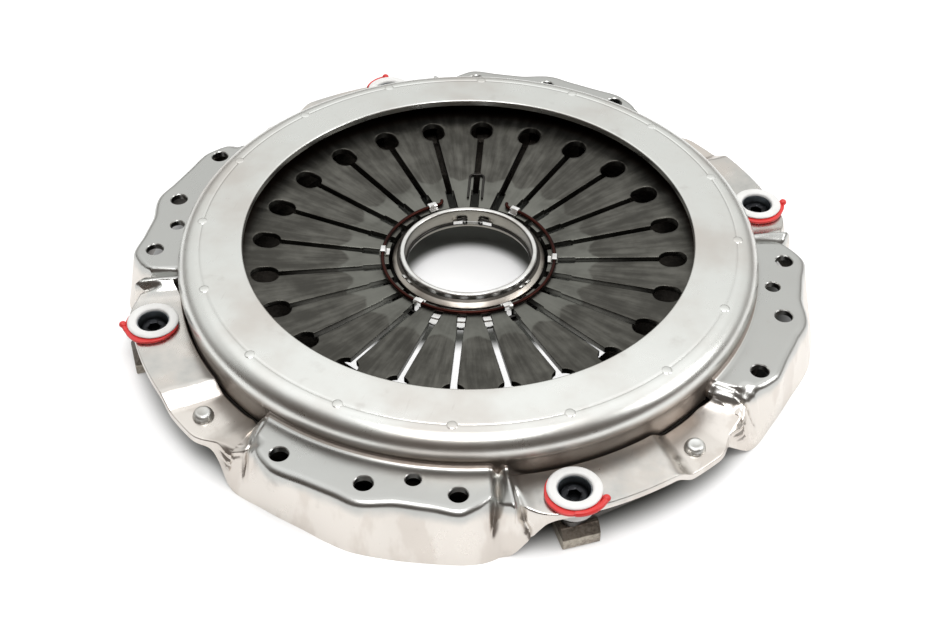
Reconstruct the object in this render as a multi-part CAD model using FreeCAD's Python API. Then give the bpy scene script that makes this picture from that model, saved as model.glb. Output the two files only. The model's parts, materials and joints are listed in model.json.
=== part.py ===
import FreeCAD, Part
import math
import os

from FreeCAD import Vector

# Heavy-vehicle clutch cover assembly, pull type, with a diaphragm spring.
# Millimetres. +Z points to the release-bearing side, and Z = 0 is the hem of the cover's skirts.
# An angle called "turn" is counted from the first flywheel bolt of a land, anticlockwise
# seen from above.

# Layout round the axis
FULL_TURN = 360.0
QUARTERS = 4
QUARTER_TURN = FULL_TURN / QUARTERS
FIRST_BOLT_DIRECTION = 255.0
BOLT_CIRCLE_R = 225.0

# Gap left between faces that only touch, and overrun of the cutting bodies
TOUCH = 0.05
OVERRUN = 1.0
FLOOR_CUTTER_MARGIN = 45.0
FLOOR_CUTTER_DEPTH = 10.0

# Cover pressing: drum
SHEET = 5.0
DRUM_INSET = 20.5
OPENING_CHAMFER = 0.6
TOP_FALL = 1.2
TOP_LAND_WIDTH = 30.0
SEAM_STEP = 0.3
SEAM_MARGIN = 1.6
SHOULDER_BEND_R = 14.5
WAIST_INSET = 2.1
WAIST_RISE = 3.6
WAIST_FILLET_RUN = 6.0
WAIST_FILLET_SAG = 0.25
WALL_BOW = 0.5
SHOULDER_STEPS = 6
INNER_STEPS = 3
PIP_COUNT = 16
PIP_R = 3.7
PIP_RISE = 0.5
PIP_DIRECTION = 13.48

# Cover pressing: bolt lands and their skirts
LAND_DROP = 24.2
LAND_ROOT_LAP = 2.8
HEM_BEND_R = 5.6
HEM_STEPS = 3
BOLT_HOLE_R = 6.0
BOLT_STEP = 15.0
BOLTS_PER_LAND = 3
DOWEL_INSET = 9.7
DOWEL_HOLE_R = 5.0
DOWEL_TURN = 22.5
WINDOW_START = 36.8
WINDOW_END = 83.0
WINDOW_LIFT = 1.4
APRON_LOW_GAP = 3.7
APRON_LAP = 1.0
RAMP_FREE_SHARE = 0.6

# Cover pressing: strap bridge and ear
BRIDGE_FALL = 7.8
EAR_STEP = 7.7
BAND_GAP = 1.5
BAND_EDGE = 15.4
BRIDGE_START = 43.9
BRIDGE_END = 65.6
EAR_START = 68.9
EAR_END = 77.4
EAR_CORNER_R = 13.0
BRIDGE_STEPS = 4
FOLD_SKEW = 0.9
FOLD_CLEARANCE = 1.4
SLEEVE_TURN = 48.3
SLEEVE_OFFSET = 0.5
RIVET_TURN = 71.5

# Diaphragm spring
SPRING_EDGE_GAP = 8.5
SPRING_THICKNESS = 4.8
BELT_WIDTH = 51.1
KEYHOLE_DROP = 18.7
KEYHOLE_R = 8.0
KEYHOLE_STRAIGHT = 4.0
FINGER_COUNT = 24
SLOT_WIDTH = 4.5
SLOT_DIRECTION = 12.47
TIP_FALL = 4.35
TIP_GAP = 7.8

# Fulcrum ring under the shoulder of the cover
FULCRUM_INSET = 4.0
FULCRUM_WIRE_R = 3.5
WIRE_SIDES = 8

# Pressure plate casting
PLATE_LIFT_OFF = 0.8
PLATE_INSET = 9.5
PLATE_WIDTH = 93.5
PLATE_EDGE_CHAMFER = 2.0
BODY_RISE = 5.5
STEP_INSET = 1.5
STEP_DROP = 2.9
RIM_INSET = 20.0
RIM_CROWN_HALF = 3.6
RIM_FOOT_HALF = 9.0
RIM_CROWN_DROP = 2.0
RIM_CROWN_FLAT = 1.4
VENT_COUNT = 24
VENT_WIDTH = 12.0
VENT_FLOOR_RISE = 5.0
LUG_EDGE = 18.0
LUG_ROOT = 7.0
LUG_WIDTH = 25.0
LUG_HEIGHT = 14.5
LUG_SLOPE_DROP = 6.3
LUG_SLOPE_RUN = 4.5

# Leaf springs between the ears and the lugs
LEAF_COUNT = 3
LEAF_THICKNESS = 1.3
LEAF_WIDTH = 24.0
LEAF_END = 11.5
LEAF_CORNER = 6.0
LEAF_PLAY = 0.025

# Rivets and lug bolts
RIVET_SHANK_R = 5.0
RIVET_HEAD_RIM = 1.8
RIVET_HEAD_HEIGHT = 4.7
RIVET_HEAD_SIDE_SHARE = 0.6
RIVET_HEAD_BULGE_SHARE = 0.88
RIVET_HEAD_FLAT_SHARE = 0.62
RIVET_TAIL_RIM = 2.6
RIVET_TAIL_HEIGHT = 3.6
RIVET_TAIL_BEVEL = 1.5
LUG_BOLT_SHANK_R = 5.0
LUG_BOLT_HEAD_RIM = 3.5
LUG_BOLT_HEAD_HEIGHT = 9.0
LUG_BOLT_HEAD_CHAMFER = 0.8
LUG_BOLT_SOCKET_WALL = 3.9
LUG_BOLT_SOCKET_DEPTH = 5.0
LUG_BOLT_END_GAP = 2.5
LUG_BOLT_COLLAR_RIM = 1.6
LUG_BOLT_COLLAR_HEIGHT = 2.0
HOLE_PLAY = 0.1

# Release sleeve and what is held on it
SLEEVE_BORE_R = 45.2
SLEEVE_WALL = 4.0
SLEEVE_TOP_DROP = 1.7
SLEEVE_LENGTH = 19.6
SLEEVE_LIP_CHAMFER = 0.8
SUPPORT_RING_INSET = 2.6
SUPPORT_WIRE_R = 3.0
SLEEVE_FLANGE_OVERHANG = 3.4
SNAP_WIRE_R = 1.3
SNAP_GROOVE_DEPTH = 1.6
SNAP_GROOVE_DROP = 6.4
SNAP_GAP = 22.0
SNAP_DIRECTION = 102.47
PRELOAD_THICKNESS = 1.4
PRELOAD_LAP = 3.2
PRELOAD_RIM_WIDTH = 4.0
PRELOAD_DISH = 3.4
PRELOAD_PLAY = 1.0
FINGER_RING_GAP = 1.4
FINGER_RING_WIRE_R = 1.4
CLIP_COUNT = 6
CLIP_WIDTH = 6.4
CLIP_LEG_WIDTH = 3.8
CLIP_GAUGE = 0.9
CLIP_LEG_DEPTH = 6.5
CLIP_DIRECTION = 12.47
LOCK_WIRE_R = 0.9
LOCK_WIRE_HALF_SPAN = 5.2
LOCK_WIRE_GAP = 3.0
LOCK_WIRE_LENGTH = 26.0
LOCK_WIRE_BEND_R = 3.0

# Transport sleeves and their ties
SPACER_BORE_GAP = 0.7
SPACER_WALL = 2.7
SPACER_HOLE_GAP = 1.0
SPACER_FLANGE_LAP = 3.1
SPACER_FLANGE_THICKNESS = 2.2
SPACER_EDGE_R = 0.9
TIE_LAP = 1.8
TIE_THICKNESS = 2.2
TIE_PLAY = 0.475
TIE_TAIL_LENGTH = 7.0
TIE_TAIL_WIDTH = 5.0
TIE_TAIL_TURN = 40.0
TIE_TAIL_ROOT = 2.0

# Radii that follow from the bolt circle
DRUM_R = BOLT_CIRCLE_R - DRUM_INSET
SHOULDER_CENTRE_R = DRUM_R - SHOULDER_BEND_R
SEAM_R = SHOULDER_CENTRE_R - SEAM_MARGIN
OPENING_R = SEAM_R - TOP_LAND_WIDTH
WAIST_R = DRUM_R - WAIST_INSET
LAND_ROOT_R = WAIST_R + LAND_ROOT_LAP
DOWEL_CIRCLE_R = BOLT_CIRCLE_R - DOWEL_INSET
BAND_INNER_R = DRUM_R + BAND_GAP
BAND_OUTER_R = BOLT_CIRCLE_R + BAND_EDGE
SLEEVE_CIRCLE_R = BOLT_CIRCLE_R + SLEEVE_OFFSET
SPRING_OUTER_R = DRUM_R - SPRING_EDGE_GAP
FULCRUM_RING_R = SPRING_OUTER_R - FULCRUM_INSET
KEYHOLE_CIRCLE_R = SPRING_OUTER_R - BELT_WIDTH
PLATE_OUTER_R = BOLT_CIRCLE_R - PLATE_INSET
PLATE_INNER_R = PLATE_OUTER_R - PLATE_WIDTH
STEP_R = DRUM_R - STEP_INSET
RIM_R = FULCRUM_RING_R - RIM_INSET
LUG_OUTER_R = BOLT_CIRCLE_R + LUG_EDGE
LUG_INNER_R = STEP_R - LUG_ROOT

# Radii that follow from the release bore
SLEEVE_OUTER_R = SLEEVE_BORE_R + SLEEVE_WALL
SPRING_TIP_R = SLEEVE_OUTER_R + TIP_GAP
SUPPORT_RING_R = SPRING_TIP_R + SUPPORT_RING_INSET
PRELOAD_OUTER_R = SPRING_TIP_R + PRELOAD_LAP
FINGER_RING_R = PRELOAD_OUTER_R + FINGER_RING_GAP + FINGER_RING_WIRE_R
LOCK_WIRE_INNER_R = FINGER_RING_R + LOCK_WIRE_GAP

# Radii that follow from the shanks
RIVET_HEAD_R = RIVET_SHANK_R + RIVET_HEAD_RIM
RIVET_TAIL_R = RIVET_SHANK_R + RIVET_TAIL_RIM
LUG_BOLT_HEAD_R = LUG_BOLT_SHANK_R + LUG_BOLT_HEAD_RIM
LUG_BOLT_SOCKET_R = LUG_BOLT_HEAD_R - LUG_BOLT_SOCKET_WALL
LUG_BOLT_COLLAR_R = LUG_BOLT_HEAD_R + LUG_BOLT_COLLAR_RIM
SPACER_BORE_R = LUG_BOLT_COLLAR_R + SPACER_BORE_GAP
SPACER_NECK_R = SPACER_BORE_R + SPACER_WALL
SPACER_HOLE_R = SPACER_NECK_R + SPACER_HOLE_GAP
SPACER_FLANGE_R = SPACER_HOLE_R + SPACER_FLANGE_LAP
TIE_OUTER_R = SPACER_FLANGE_R + TIE_LAP

# Heights, stacked up from the friction face
LUG_TOP_Z = PLATE_LIFT_OFF + LUG_HEIGHT
LEAF_PACK = LEAF_COUNT * LEAF_THICKNESS + (LEAF_COUNT - 1) * LEAF_PLAY
LEAF_BOTTOM_Z = LUG_TOP_Z + LEAF_PLAY
LEAF_TOP_Z = LEAF_BOTTOM_Z + LEAF_PACK
EAR_Z = LEAF_TOP_Z + LEAF_PLAY + SHEET
BRIDGE_Z = EAR_Z + EAR_STEP
LAND_Z = BRIDGE_Z + BRIDGE_FALL
COVER_HEIGHT = LAND_Z + LAND_DROP
SEAM_Z = COVER_HEIGHT - TOP_FALL
SHOULDER_CENTRE_Z = SEAM_Z - SEAM_STEP - SHOULDER_BEND_R
KEYHOLE_Z = COVER_HEIGHT - KEYHOLE_DROP
SLEEVE_TOP_Z = KEYHOLE_Z - SLEEVE_TOP_DROP
SLEEVE_BOTTOM_Z = SLEEVE_TOP_Z - SLEEVE_LENGTH
SPACER_HEIGHT = BRIDGE_Z - LEAF_TOP_Z + TIE_THICKNESS + TIE_PLAY + SPACER_FLANGE_THICKNESS

UP = Vector(0, 0, 1)
ORIGIN = Vector(0, 0, 0)

# Stations of a land, one row each: turn, share of the fall to the ear or the bridge, outer corner
# and hem beyond the bolt circle, and height of the hem as a share of the land's
START_RAMP = (
    (-13.2, 1.0, 2.0, 5.0, 0.415),
    (-12.0, 0.877, 2.2, 6.4, 0.301),
    (-10.6, 0.671, 2.6, 8.4, 0.113),
    (-8.8, 0.439, 3.2, 13.0, 0.02),
    (-6.6, 0.194, 4.0, 15.8, 0.0),
    (-4.0, 0.0, 4.4, 16.0, 0.0),
)
LAND_SPAN = (
    (-4.0, 0.0, 4.4, 16.0, 0.0),
    (-1.9, 0.0, 10.0, 15.8, 0.0),
    (1.2, 0.0, 13.4, 16.2, 0.0),
    (5.8, 0.0, 12.4, 17.4, 0.0),
    (10.6, 0.0, 13.4, 20.8, 0.0),
    (14.9, 0.0, 16.4, 23.2, 0.0),
    (21.3, 0.0, 10.4, 22.8, 0.0),
    (25.9, 0.0, 11.4, 22.4, 0.0),
    (30.2, 0.0, 14.6, 22.6, 0.0),
    (33.2, 0.0, 8.6, 21.6, 0.0),
    (34.8, 0.0, 3.0, 20.2, 0.0),
)
END_RAMP = (
    (34.8, 0.0, 3.0, 20.2, 0.0),
    (37.4, 0.385, 5.6, 17.6, 0.065),
    (39.9, 0.718, 8.6, 16.4, 0.276),
    (42.2, 0.923, 11.0, 15.6, 0.492),
    (44.0, 1.0, 12.6, 15.2, 0.628),
)


def direction(turn):
    """Angle from +X for a turn counted from the first bolt."""
    return FIRST_BOLT_DIRECTION + turn


def polar(radius, angle, z=0.0):
    """Point at a radius and an angle from +X, in degrees."""
    a = math.radians(angle)
    return Vector(radius * math.cos(a), radius * math.sin(a), z)


def turned(shape, angle):
    """Copy of a shape turned about the axis."""
    copy = shape.copy()
    copy.rotate(ORIGIN, UP, angle)
    return copy


def ring_of(shape, count):
    """Copies of a shape spread evenly round the axis."""
    return [turned(shape, FULL_TURN * i / count) for i in range(count)]


def profile_points(points):
    """Points of a radial half plane, given as (radius, height)."""
    return [Vector(r, 0, z) for r, z in points]


def revolved(points, sweep=FULL_TURN):
    """Solid swept round the axis by a closed polygon of (radius, height) points."""
    loop = profile_points(points)
    face = Part.Face(Part.makePolygon(loop + loop[:1]))
    return face.revolve(ORIGIN, UP, sweep)


def wire_section(radius, wire_r, z):
    """Points round the section of a wire, enough to read as round at its size."""
    step = 2 * math.pi / WIRE_SIDES
    angles = [step * (i + 0.5) for i in range(WIRE_SIDES)]
    return [(radius + wire_r * math.cos(a), z + wire_r * math.sin(a)) for a in angles]


def wire_ring(radius, wire_r, z, sweep=FULL_TURN):
    """Wire bent into a ring."""
    return revolved(wire_section(radius, wire_r, z), sweep)


def bend_points(centre, bend_r, start, end, steps):
    """Points along a bend from one angle above the horizontal to another."""
    angles = [math.radians(start + (end - start) * i / steps) for i in range(steps + 1)]
    return [(centre[0] + bend_r * math.cos(a), centre[1] + bend_r * math.sin(a)) for a in angles]


def post(radius, height, centre):
    """Upright cylinder on a point."""
    return Part.makeCylinder(radius, height, centre, UP)


def washer(outer_r, inner_r, height, centre):
    """Flat washer on a point."""
    hole = post(inner_r, height + 2 * OVERRUN, centre - Vector(0, 0, OVERRUN))
    return post(outer_r, height, centre).cut(hole)


def hexagon(across_corners_r, height, centre):
    """Upright hexagonal prism on a point."""
    corners = [centre + polar(across_corners_r, 60.0 * i) for i in range(6)]
    return Part.Face(Part.makePolygon(corners + corners[:1])).extrude(Vector(0, 0, height))


def drum():
    """Top land, rounded shoulder, wall, waist and foot of the cover, all the way round."""
    under = LAND_Z - SHEET
    wall_r = DRUM_R - SHEET
    centre = (SHOULDER_CENTRE_R, SHOULDER_CENTRE_Z)
    foot_r = WAIST_R + WAIST_FILLET_RUN
    outside = [(OPENING_R, COVER_HEIGHT - OPENING_CHAMFER), (OPENING_R + OPENING_CHAMFER, COVER_HEIGHT),
               (SEAM_R, SEAM_Z), (SEAM_R + SEAM_STEP, SEAM_Z - SEAM_STEP)]
    outside += bend_points(centre, SHOULDER_BEND_R, 90, 0, SHOULDER_STEPS)
    outside += [(DRUM_R - WALL_BOW, (SHOULDER_CENTRE_Z + LAND_Z + WAIST_RISE) / 2),
                (WAIST_R, LAND_Z + WAIST_RISE),
                (WAIST_R + WAIST_FILLET_SAG * WAIST_FILLET_RUN, LAND_Z + WAIST_FILLET_SAG * WAIST_RISE),
                (foot_r, LAND_Z)]
    inside = [(foot_r, under), (wall_r + SHEET, under), (wall_r, under + SHEET)]
    inside += bend_points(centre, SHOULDER_BEND_R - SHEET, 0, 90, INNER_STEPS)
    inside.append((OPENING_R, COVER_HEIGHT - SHEET))
    return revolved(outside + inside)


def rounded_corner(corner, down, radius, steps):
    """Points of the bend at a corner between the flat top and a skirt running down."""
    tilt = math.degrees(math.atan2(-down[1], down[0]))
    reach = radius * math.tan(math.radians(tilt) / 2)
    centre = (corner[0] - reach, corner[1] - radius)
    return bend_points(centre, radius, 90, 90 - tilt, steps)


def skirt_line(station, fall):
    """Closed section of the bend and skirt at one station, and the radius where the flat top ends."""
    turn, share, corner_reach, hem_reach, hem_share = station
    top = LAND_Z - share * fall
    corner_r = BOLT_CIRCLE_R + corner_reach
    hem = (BOLT_CIRCLE_R + hem_reach, hem_share * LAND_Z)
    length = math.hypot(hem[0] - corner_r, hem[1] - top)
    down = ((hem[0] - corner_r) / length, (hem[1] - top) / length)
    hem_inner = (hem[0] + SHEET / down[1], hem[1])
    inner_top = top - SHEET
    to_top = (inner_top - hem[1]) / down[1]
    inner_corner = (hem_inner[0] + down[0] * to_top, inner_top)
    outer_bend = rounded_corner((corner_r, top), down, HEM_BEND_R, HEM_STEPS)
    inner_bend = rounded_corner(inner_corner, down, HEM_BEND_R - SHEET, 1)
    return outer_bend + [hem, hem_inner] + inner_bend[::-1]


def closed_section(points, turn):
    """Closed polygon of (radius, height) points, turned to its place."""
    loop = profile_points(points)
    return turned(Part.makePolygon(loop + loop[:1]), direction(turn))


def ramp(stations, fall):
    """Sloping sheet with its skirt, joined to the wall high up and free of it low down."""
    sections = []
    for station in stations:
        line = skirt_line(station, fall)
        root_r = BAND_INNER_R if station[1] > RAMP_FREE_SHARE else WAIST_R - APRON_LAP
        root = [(root_r, line[-1][1]), (root_r, line[0][1])]
        sections.append(closed_section(line + root, station[0]))
    return Part.makeLoft(sections, True, True)


def land():
    """Level land: a flat plate out to the bend, and the bend with its skirt round its edge."""
    lines = [skirt_line(station, 0.0) for station in LAND_SPAN]
    turns = [station[0] for station in LAND_SPAN]
    skirt = Part.makeLoft([closed_section(line, turn) for line, turn in zip(lines, turns)], True, True)
    under = LAND_Z - SHEET
    outer = [polar(line[0][0], direction(turn), under) for line, turn in zip(lines, turns)]
    inner = [polar(LAND_ROOT_R, direction(turn), under) for turn in reversed(turns)]
    outline = outer + inner
    plate = Part.Face(Part.makePolygon(outline + outline[:1])).extrude(Vector(0, 0, SHEET))
    return [plate, skirt]


def sector(inner_r, outer_r, low_z, high_z, start, end):
    """Part of a flat ring between two turns."""
    loop = [(inner_r, low_z), (outer_r, low_z), (outer_r, high_z), (inner_r, high_z)]
    return turned(revolved(loop, end - start), direction(start))


def band_section(z, turn, skew=0.0):
    """Upright section of the strap band with its top at a height, turned out of the radial by a skew."""
    inner = polar(BAND_INNER_R, direction(turn + skew), z)
    outer = polar(BAND_OUTER_R, direction(turn - skew), z)
    down = Vector(0, 0, SHEET)
    return Part.makePolygon([inner - down, outer - down, outer, inner, inner - down])


def strap_bridge():
    """Flat bridge over the lug, its fold down across the strap, and the ear with a rounded corner."""
    share = [i / BRIDGE_STEPS for i in range(BRIDGE_STEPS + 1)]
    span = BRIDGE_END - BRIDGE_START
    sections = [band_section(BRIDGE_Z, BRIDGE_START + span * s, FOLD_SKEW * s) for s in share]
    sections.append(band_section(EAR_Z, EAR_START, FOLD_SKEW))
    ear_root = EAR_START + FOLD_CLEARANCE
    sections.append(band_section(EAR_Z, ear_root))
    strap = Part.makeLoft(sections, True, True)
    ear = sector(BAND_INNER_R, BAND_OUTER_R, EAR_Z - SHEET, EAR_Z, ear_root, EAR_END)
    corner = polar(BAND_OUTER_R, direction(EAR_END), EAR_Z - SHEET / 2)
    outer_edge = [e for e in ear.Edges if (e.CenterOfMass - corner).Length < SHEET / 4]
    ear = ear.makeFillet(EAR_CORNER_R, outer_edge)
    return [strap, ear]


def sheet_hole(hole_r, circle_r, turn, top):
    """Cutter for a hole through sheet with its top at a height."""
    low = top - SHEET - OVERRUN
    return post(hole_r, SHEET + 2 * OVERRUN, polar(circle_r, direction(turn), low))


def holes_of_quarter():
    """Cutters for the bolts, the dowel, the transport sleeve and the rivet of one quarter."""
    bolts = [sheet_hole(BOLT_HOLE_R, BOLT_CIRCLE_R, BOLT_STEP * i, LAND_Z) for i in range(BOLTS_PER_LAND)]
    dowel = sheet_hole(DOWEL_HOLE_R, DOWEL_CIRCLE_R, DOWEL_TURN, LAND_Z)
    spacer = sheet_hole(SPACER_HOLE_R, SLEEVE_CIRCLE_R, SLEEVE_TURN, BRIDGE_Z)
    rivet = sheet_hole(RIVET_SHANK_R + HOLE_PLAY, BOLT_CIRCLE_R, RIVET_TURN, EAR_Z)
    return bolts + [dowel, spacer, rivet]


def pips():
    """Low round pips along the seam of the top land."""
    base = SEAM_Z - SEAM_STEP - OVERRUN
    height = OVERRUN + SEAM_STEP + PIP_RISE
    return ring_of(post(PIP_R, height, polar(SEAM_R + SEAM_STEP, PIP_DIRECTION, base)), PIP_COUNT)


def side_window():
    """Cutter that opens the drum's wall beside a strap bridge."""
    low = LAND_Z - SHEET - OVERRUN
    inner_r = DRUM_R - SHEET - OVERRUN
    outer_r = WAIST_R + WAIST_FILLET_RUN + OVERRUN
    return sector(inner_r, outer_r, low, LAND_Z + WINDOW_LIFT, WINDOW_START, WINDOW_END)


def apron():
    """Wall that runs on down behind a strap bridge, clear of the plate when that lifts."""
    low = LUG_TOP_Z + BODY_RISE + APRON_LOW_GAP
    high = LAND_Z + WAIST_RISE
    return sector(WAIST_R - SHEET, WAIST_R, low, high, WINDOW_START - APRON_LAP, WINDOW_END + APRON_LAP)


def cover():
    """The whole pressing: drum, four lands with skirts, four strap bridges with ears."""
    shell = drum().cut(ring_of(side_window(), QUARTERS))
    forms = [ramp(START_RAMP, LAND_Z - EAR_Z), ramp(END_RAMP, BRIDGE_FALL), apron()]
    forms += land() + strap_bridge()
    pieces = []
    for form in forms:
        pieces += ring_of(form, QUARTERS)
    shell = shell.fuse(pieces + pips())
    floor_r = BOLT_CIRCLE_R + FLOOR_CUTTER_MARGIN
    cutters = [post(floor_r, FLOOR_CUTTER_DEPTH, Vector(0, 0, -FLOOR_CUTTER_DEPTH))]
    for cutter in holes_of_quarter():
        cutters += ring_of(cutter, QUARTERS)
    return shell.cut(cutters).removeSplitter()


def belt_slope():
    """Rise per millimetre of the spring's belt, so that its top just meets the fulcrum wire."""
    reach = FULCRUM_RING_R - KEYHOLE_CIRCLE_R
    rise = fulcrum_wire_z() - KEYHOLE_Z
    gap = FULCRUM_WIRE_R + TOUCH
    slope = (rise - gap) / reach
    for _ in range(8):
        slope = (rise - gap * math.hypot(1, slope)) / reach
    return slope


def fulcrum_wire_z():
    """Height of the fulcrum wire's centre, just under the inside of the shoulder."""
    flats = (SHOULDER_BEND_R - SHEET) * math.cos(math.radians(45.0 / INNER_STEPS))
    room = flats - FULCRUM_WIRE_R - TOUCH
    offset = FULCRUM_RING_R - SHOULDER_CENTRE_R
    return SHOULDER_CENTRE_Z + math.sqrt(room ** 2 - offset ** 2)


def finger_top_z(radius):
    """Height of the top of the spring at a radius."""
    if radius > KEYHOLE_CIRCLE_R:
        return KEYHOLE_Z + belt_slope() * (radius - KEYHOLE_CIRCLE_R)
    share = (KEYHOLE_CIRCLE_R - radius) / (KEYHOLE_CIRCLE_R - SPRING_TIP_R)
    return KEYHOLE_Z - TIP_FALL * share


def fulcrum_ring():
    """Wire ring that the edge of the spring tips on."""
    return wire_ring(FULCRUM_RING_R, FULCRUM_WIRE_R, fulcrum_wire_z())


def keyhole_cutter():
    """Slot between two fingers with the oblong hole at its root."""
    slot = Part.makeBox(KEYHOLE_CIRCLE_R, SLOT_WIDTH, COVER_HEIGHT, Vector(0, -SLOT_WIDTH / 2, 0))
    half = KEYHOLE_STRAIGHT / 2
    corner = Vector(KEYHOLE_CIRCLE_R - half, -KEYHOLE_R, 0)
    middle = Part.makeBox(2 * half, 2 * KEYHOLE_R, COVER_HEIGHT, corner)
    ends = [post(KEYHOLE_R, COVER_HEIGHT, Vector(KEYHOLE_CIRCLE_R + side * half, 0, 0)) for side in (-1, 1)]
    return slot.fuse([middle] + ends)


def diaphragm_spring():
    """Dished spring with its belt outside and slotted fingers inside."""
    radii = (SPRING_TIP_R, KEYHOLE_CIRCLE_R, SPRING_OUTER_R)
    top = [(r, finger_top_z(r)) for r in radii]
    bottom = [(r, z - SPRING_THICKNESS) for r, z in reversed(top)]
    blank = revolved(top + bottom)
    return blank.cut(ring_of(turned(keyhole_cutter(), SLOT_DIRECTION), FINGER_COUNT))


def plate_ring():
    """Ring of the casting with the raised fulcrum rim."""
    low = PLATE_LIFT_OFF
    top = LUG_TOP_Z + BODY_RISE
    step = LUG_TOP_Z - STEP_DROP
    crown = finger_top_z(RIM_R - RIM_CROWN_FLAT) - SPRING_THICKNESS - TOUCH
    crown_out = crown + 2 * RIM_CROWN_FLAT * belt_slope()
    side = crown - RIM_CROWN_DROP
    c = PLATE_EDGE_CHAMFER
    outside = [
        (RIM_R - RIM_CROWN_FLAT, crown), (RIM_R - RIM_CROWN_HALF, side), (RIM_R - RIM_FOOT_HALF, top),
        (PLATE_INNER_R + c, top),
        (PLATE_INNER_R, top - c), (PLATE_INNER_R, low), (PLATE_OUTER_R, low), (PLATE_OUTER_R, step - c),
        (PLATE_OUTER_R - c, step), (STEP_R, step), (STEP_R - c, top), (RIM_R + RIM_FOOT_HALF, top),
        (RIM_R + RIM_CROWN_HALF, side), (RIM_R + RIM_CROWN_FLAT, crown_out),
    ]
    return revolved(outside)


def lug():
    """Lug for one leaf spring, with a sloped front over its upright face."""
    side = [
        (LUG_INNER_R, PLATE_LIFT_OFF),
        (LUG_OUTER_R, PLATE_LIFT_OFF),
        (LUG_OUTER_R, LUG_TOP_Z - LUG_SLOPE_DROP),
        (LUG_OUTER_R - LUG_SLOPE_RUN, LUG_TOP_Z),
        (LUG_INNER_R, LUG_TOP_Z),
    ]
    loop = [Vector(r, -LUG_WIDTH / 2, z) for r, z in side]
    block = Part.Face(Part.makePolygon(loop + loop[:1])).extrude(Vector(0, LUG_WIDTH, 0))
    return turned(block, direction(SLEEVE_TURN))


def pressure_plate():
    """Iron ring with a friction face below, a vented fulcrum rim above and four drilled lugs."""
    body = plate_ring().fuse(ring_of(lug(), QUARTERS))
    vent_floor = LUG_TOP_Z + BODY_RISE + VENT_FLOOR_RISE
    vent_corner = Vector(RIM_R - 2 * RIM_FOOT_HALF, -VENT_WIDTH / 2, vent_floor)
    vent = Part.makeBox(4 * RIM_FOOT_HALF, VENT_WIDTH, COVER_HEIGHT, vent_corner)
    vents = ring_of(turned(vent, SLOT_DIRECTION), VENT_COUNT)
    hole_at = polar(SLEEVE_CIRCLE_R, direction(SLEEVE_TURN), -OVERRUN)
    hole = post(LUG_BOLT_SHANK_R + HOLE_PLAY, COVER_HEIGHT, hole_at)
    return body.cut(vents + ring_of(hole, QUARTERS)).removeSplitter()


def leaf(z):
    """One leaf from the lug bolt to the ear rivet, with rounded ends."""
    bolt = polar(SLEEVE_CIRCLE_R, direction(SLEEVE_TURN), z)
    rivet = polar(BOLT_CIRCLE_R, direction(RIVET_TURN), z)
    along = rivet - bolt
    end = along.Length + LEAF_END
    side = LEAF_WIDTH / 2
    c = LEAF_CORNER
    plan = [(c - LEAF_END, -side), (end - c, -side), (end, c - side), (end, side - c), (end - c, side),
            (c - LEAF_END, side), (-LEAF_END, side - c), (-LEAF_END, c - side)]
    loop = [Vector(x, y, 0) for x, y in plan]
    strip = Part.Face(Part.makePolygon(loop + loop[:1])).extrude(Vector(0, 0, LEAF_THICKNESS))
    strip.rotate(ORIGIN, UP, math.degrees(math.atan2(along.y, along.x)))
    strip.translate(bolt)
    hole_r = LUG_BOLT_SHANK_R + HOLE_PLAY
    down = Vector(0, 0, OVERRUN)
    return strip.cut([post(hole_r, LEAF_THICKNESS + 2 * OVERRUN, p - down) for p in (bolt, rivet)])


def leaf_spring(index):
    """Pack of leaves of one quarter."""
    pitch = LEAF_THICKNESS + LEAF_PLAY
    leaves = [leaf(LEAF_BOTTOM_Z + pitch * i) for i in range(LEAF_COUNT)]
    return turned(Part.makeCompound(leaves), QUARTER_TURN * index)


def ear_rivet():
    """Rivet through ear and leaves, with a domed head above and a formed tail below."""
    tail_top = LEAF_BOTTOM_Z - TOUCH
    tail_low = tail_top - RIVET_TAIL_HEIGHT
    head_low = EAR_Z + TOUCH
    head_top = head_low + RIVET_HEAD_HEIGHT
    head_side = head_low + RIVET_HEAD_HEIGHT * RIVET_HEAD_SIDE_SHARE
    head_bulge = RIVET_HEAD_BULGE_SHARE
    body = revolved([
        (0, tail_low), (RIVET_TAIL_R - RIVET_TAIL_BEVEL, tail_low),
        (RIVET_TAIL_R, tail_low + RIVET_TAIL_BEVEL), (RIVET_TAIL_R, tail_top),
        (RIVET_SHANK_R, tail_top), (RIVET_SHANK_R, head_low),
        (RIVET_HEAD_R, head_low), (RIVET_HEAD_R, head_side),
        (RIVET_HEAD_R * head_bulge, head_low + RIVET_HEAD_HEIGHT * head_bulge),
        (RIVET_HEAD_R * RIVET_HEAD_FLAT_SHARE, head_top), (0, head_top),
    ])
    body.translate(polar(BOLT_CIRCLE_R, direction(RIVET_TURN)))
    return body


def ear_rivets():
    """The four ear rivets."""
    return Part.makeCompound(ring_of(ear_rivet(), QUARTERS))


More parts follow.
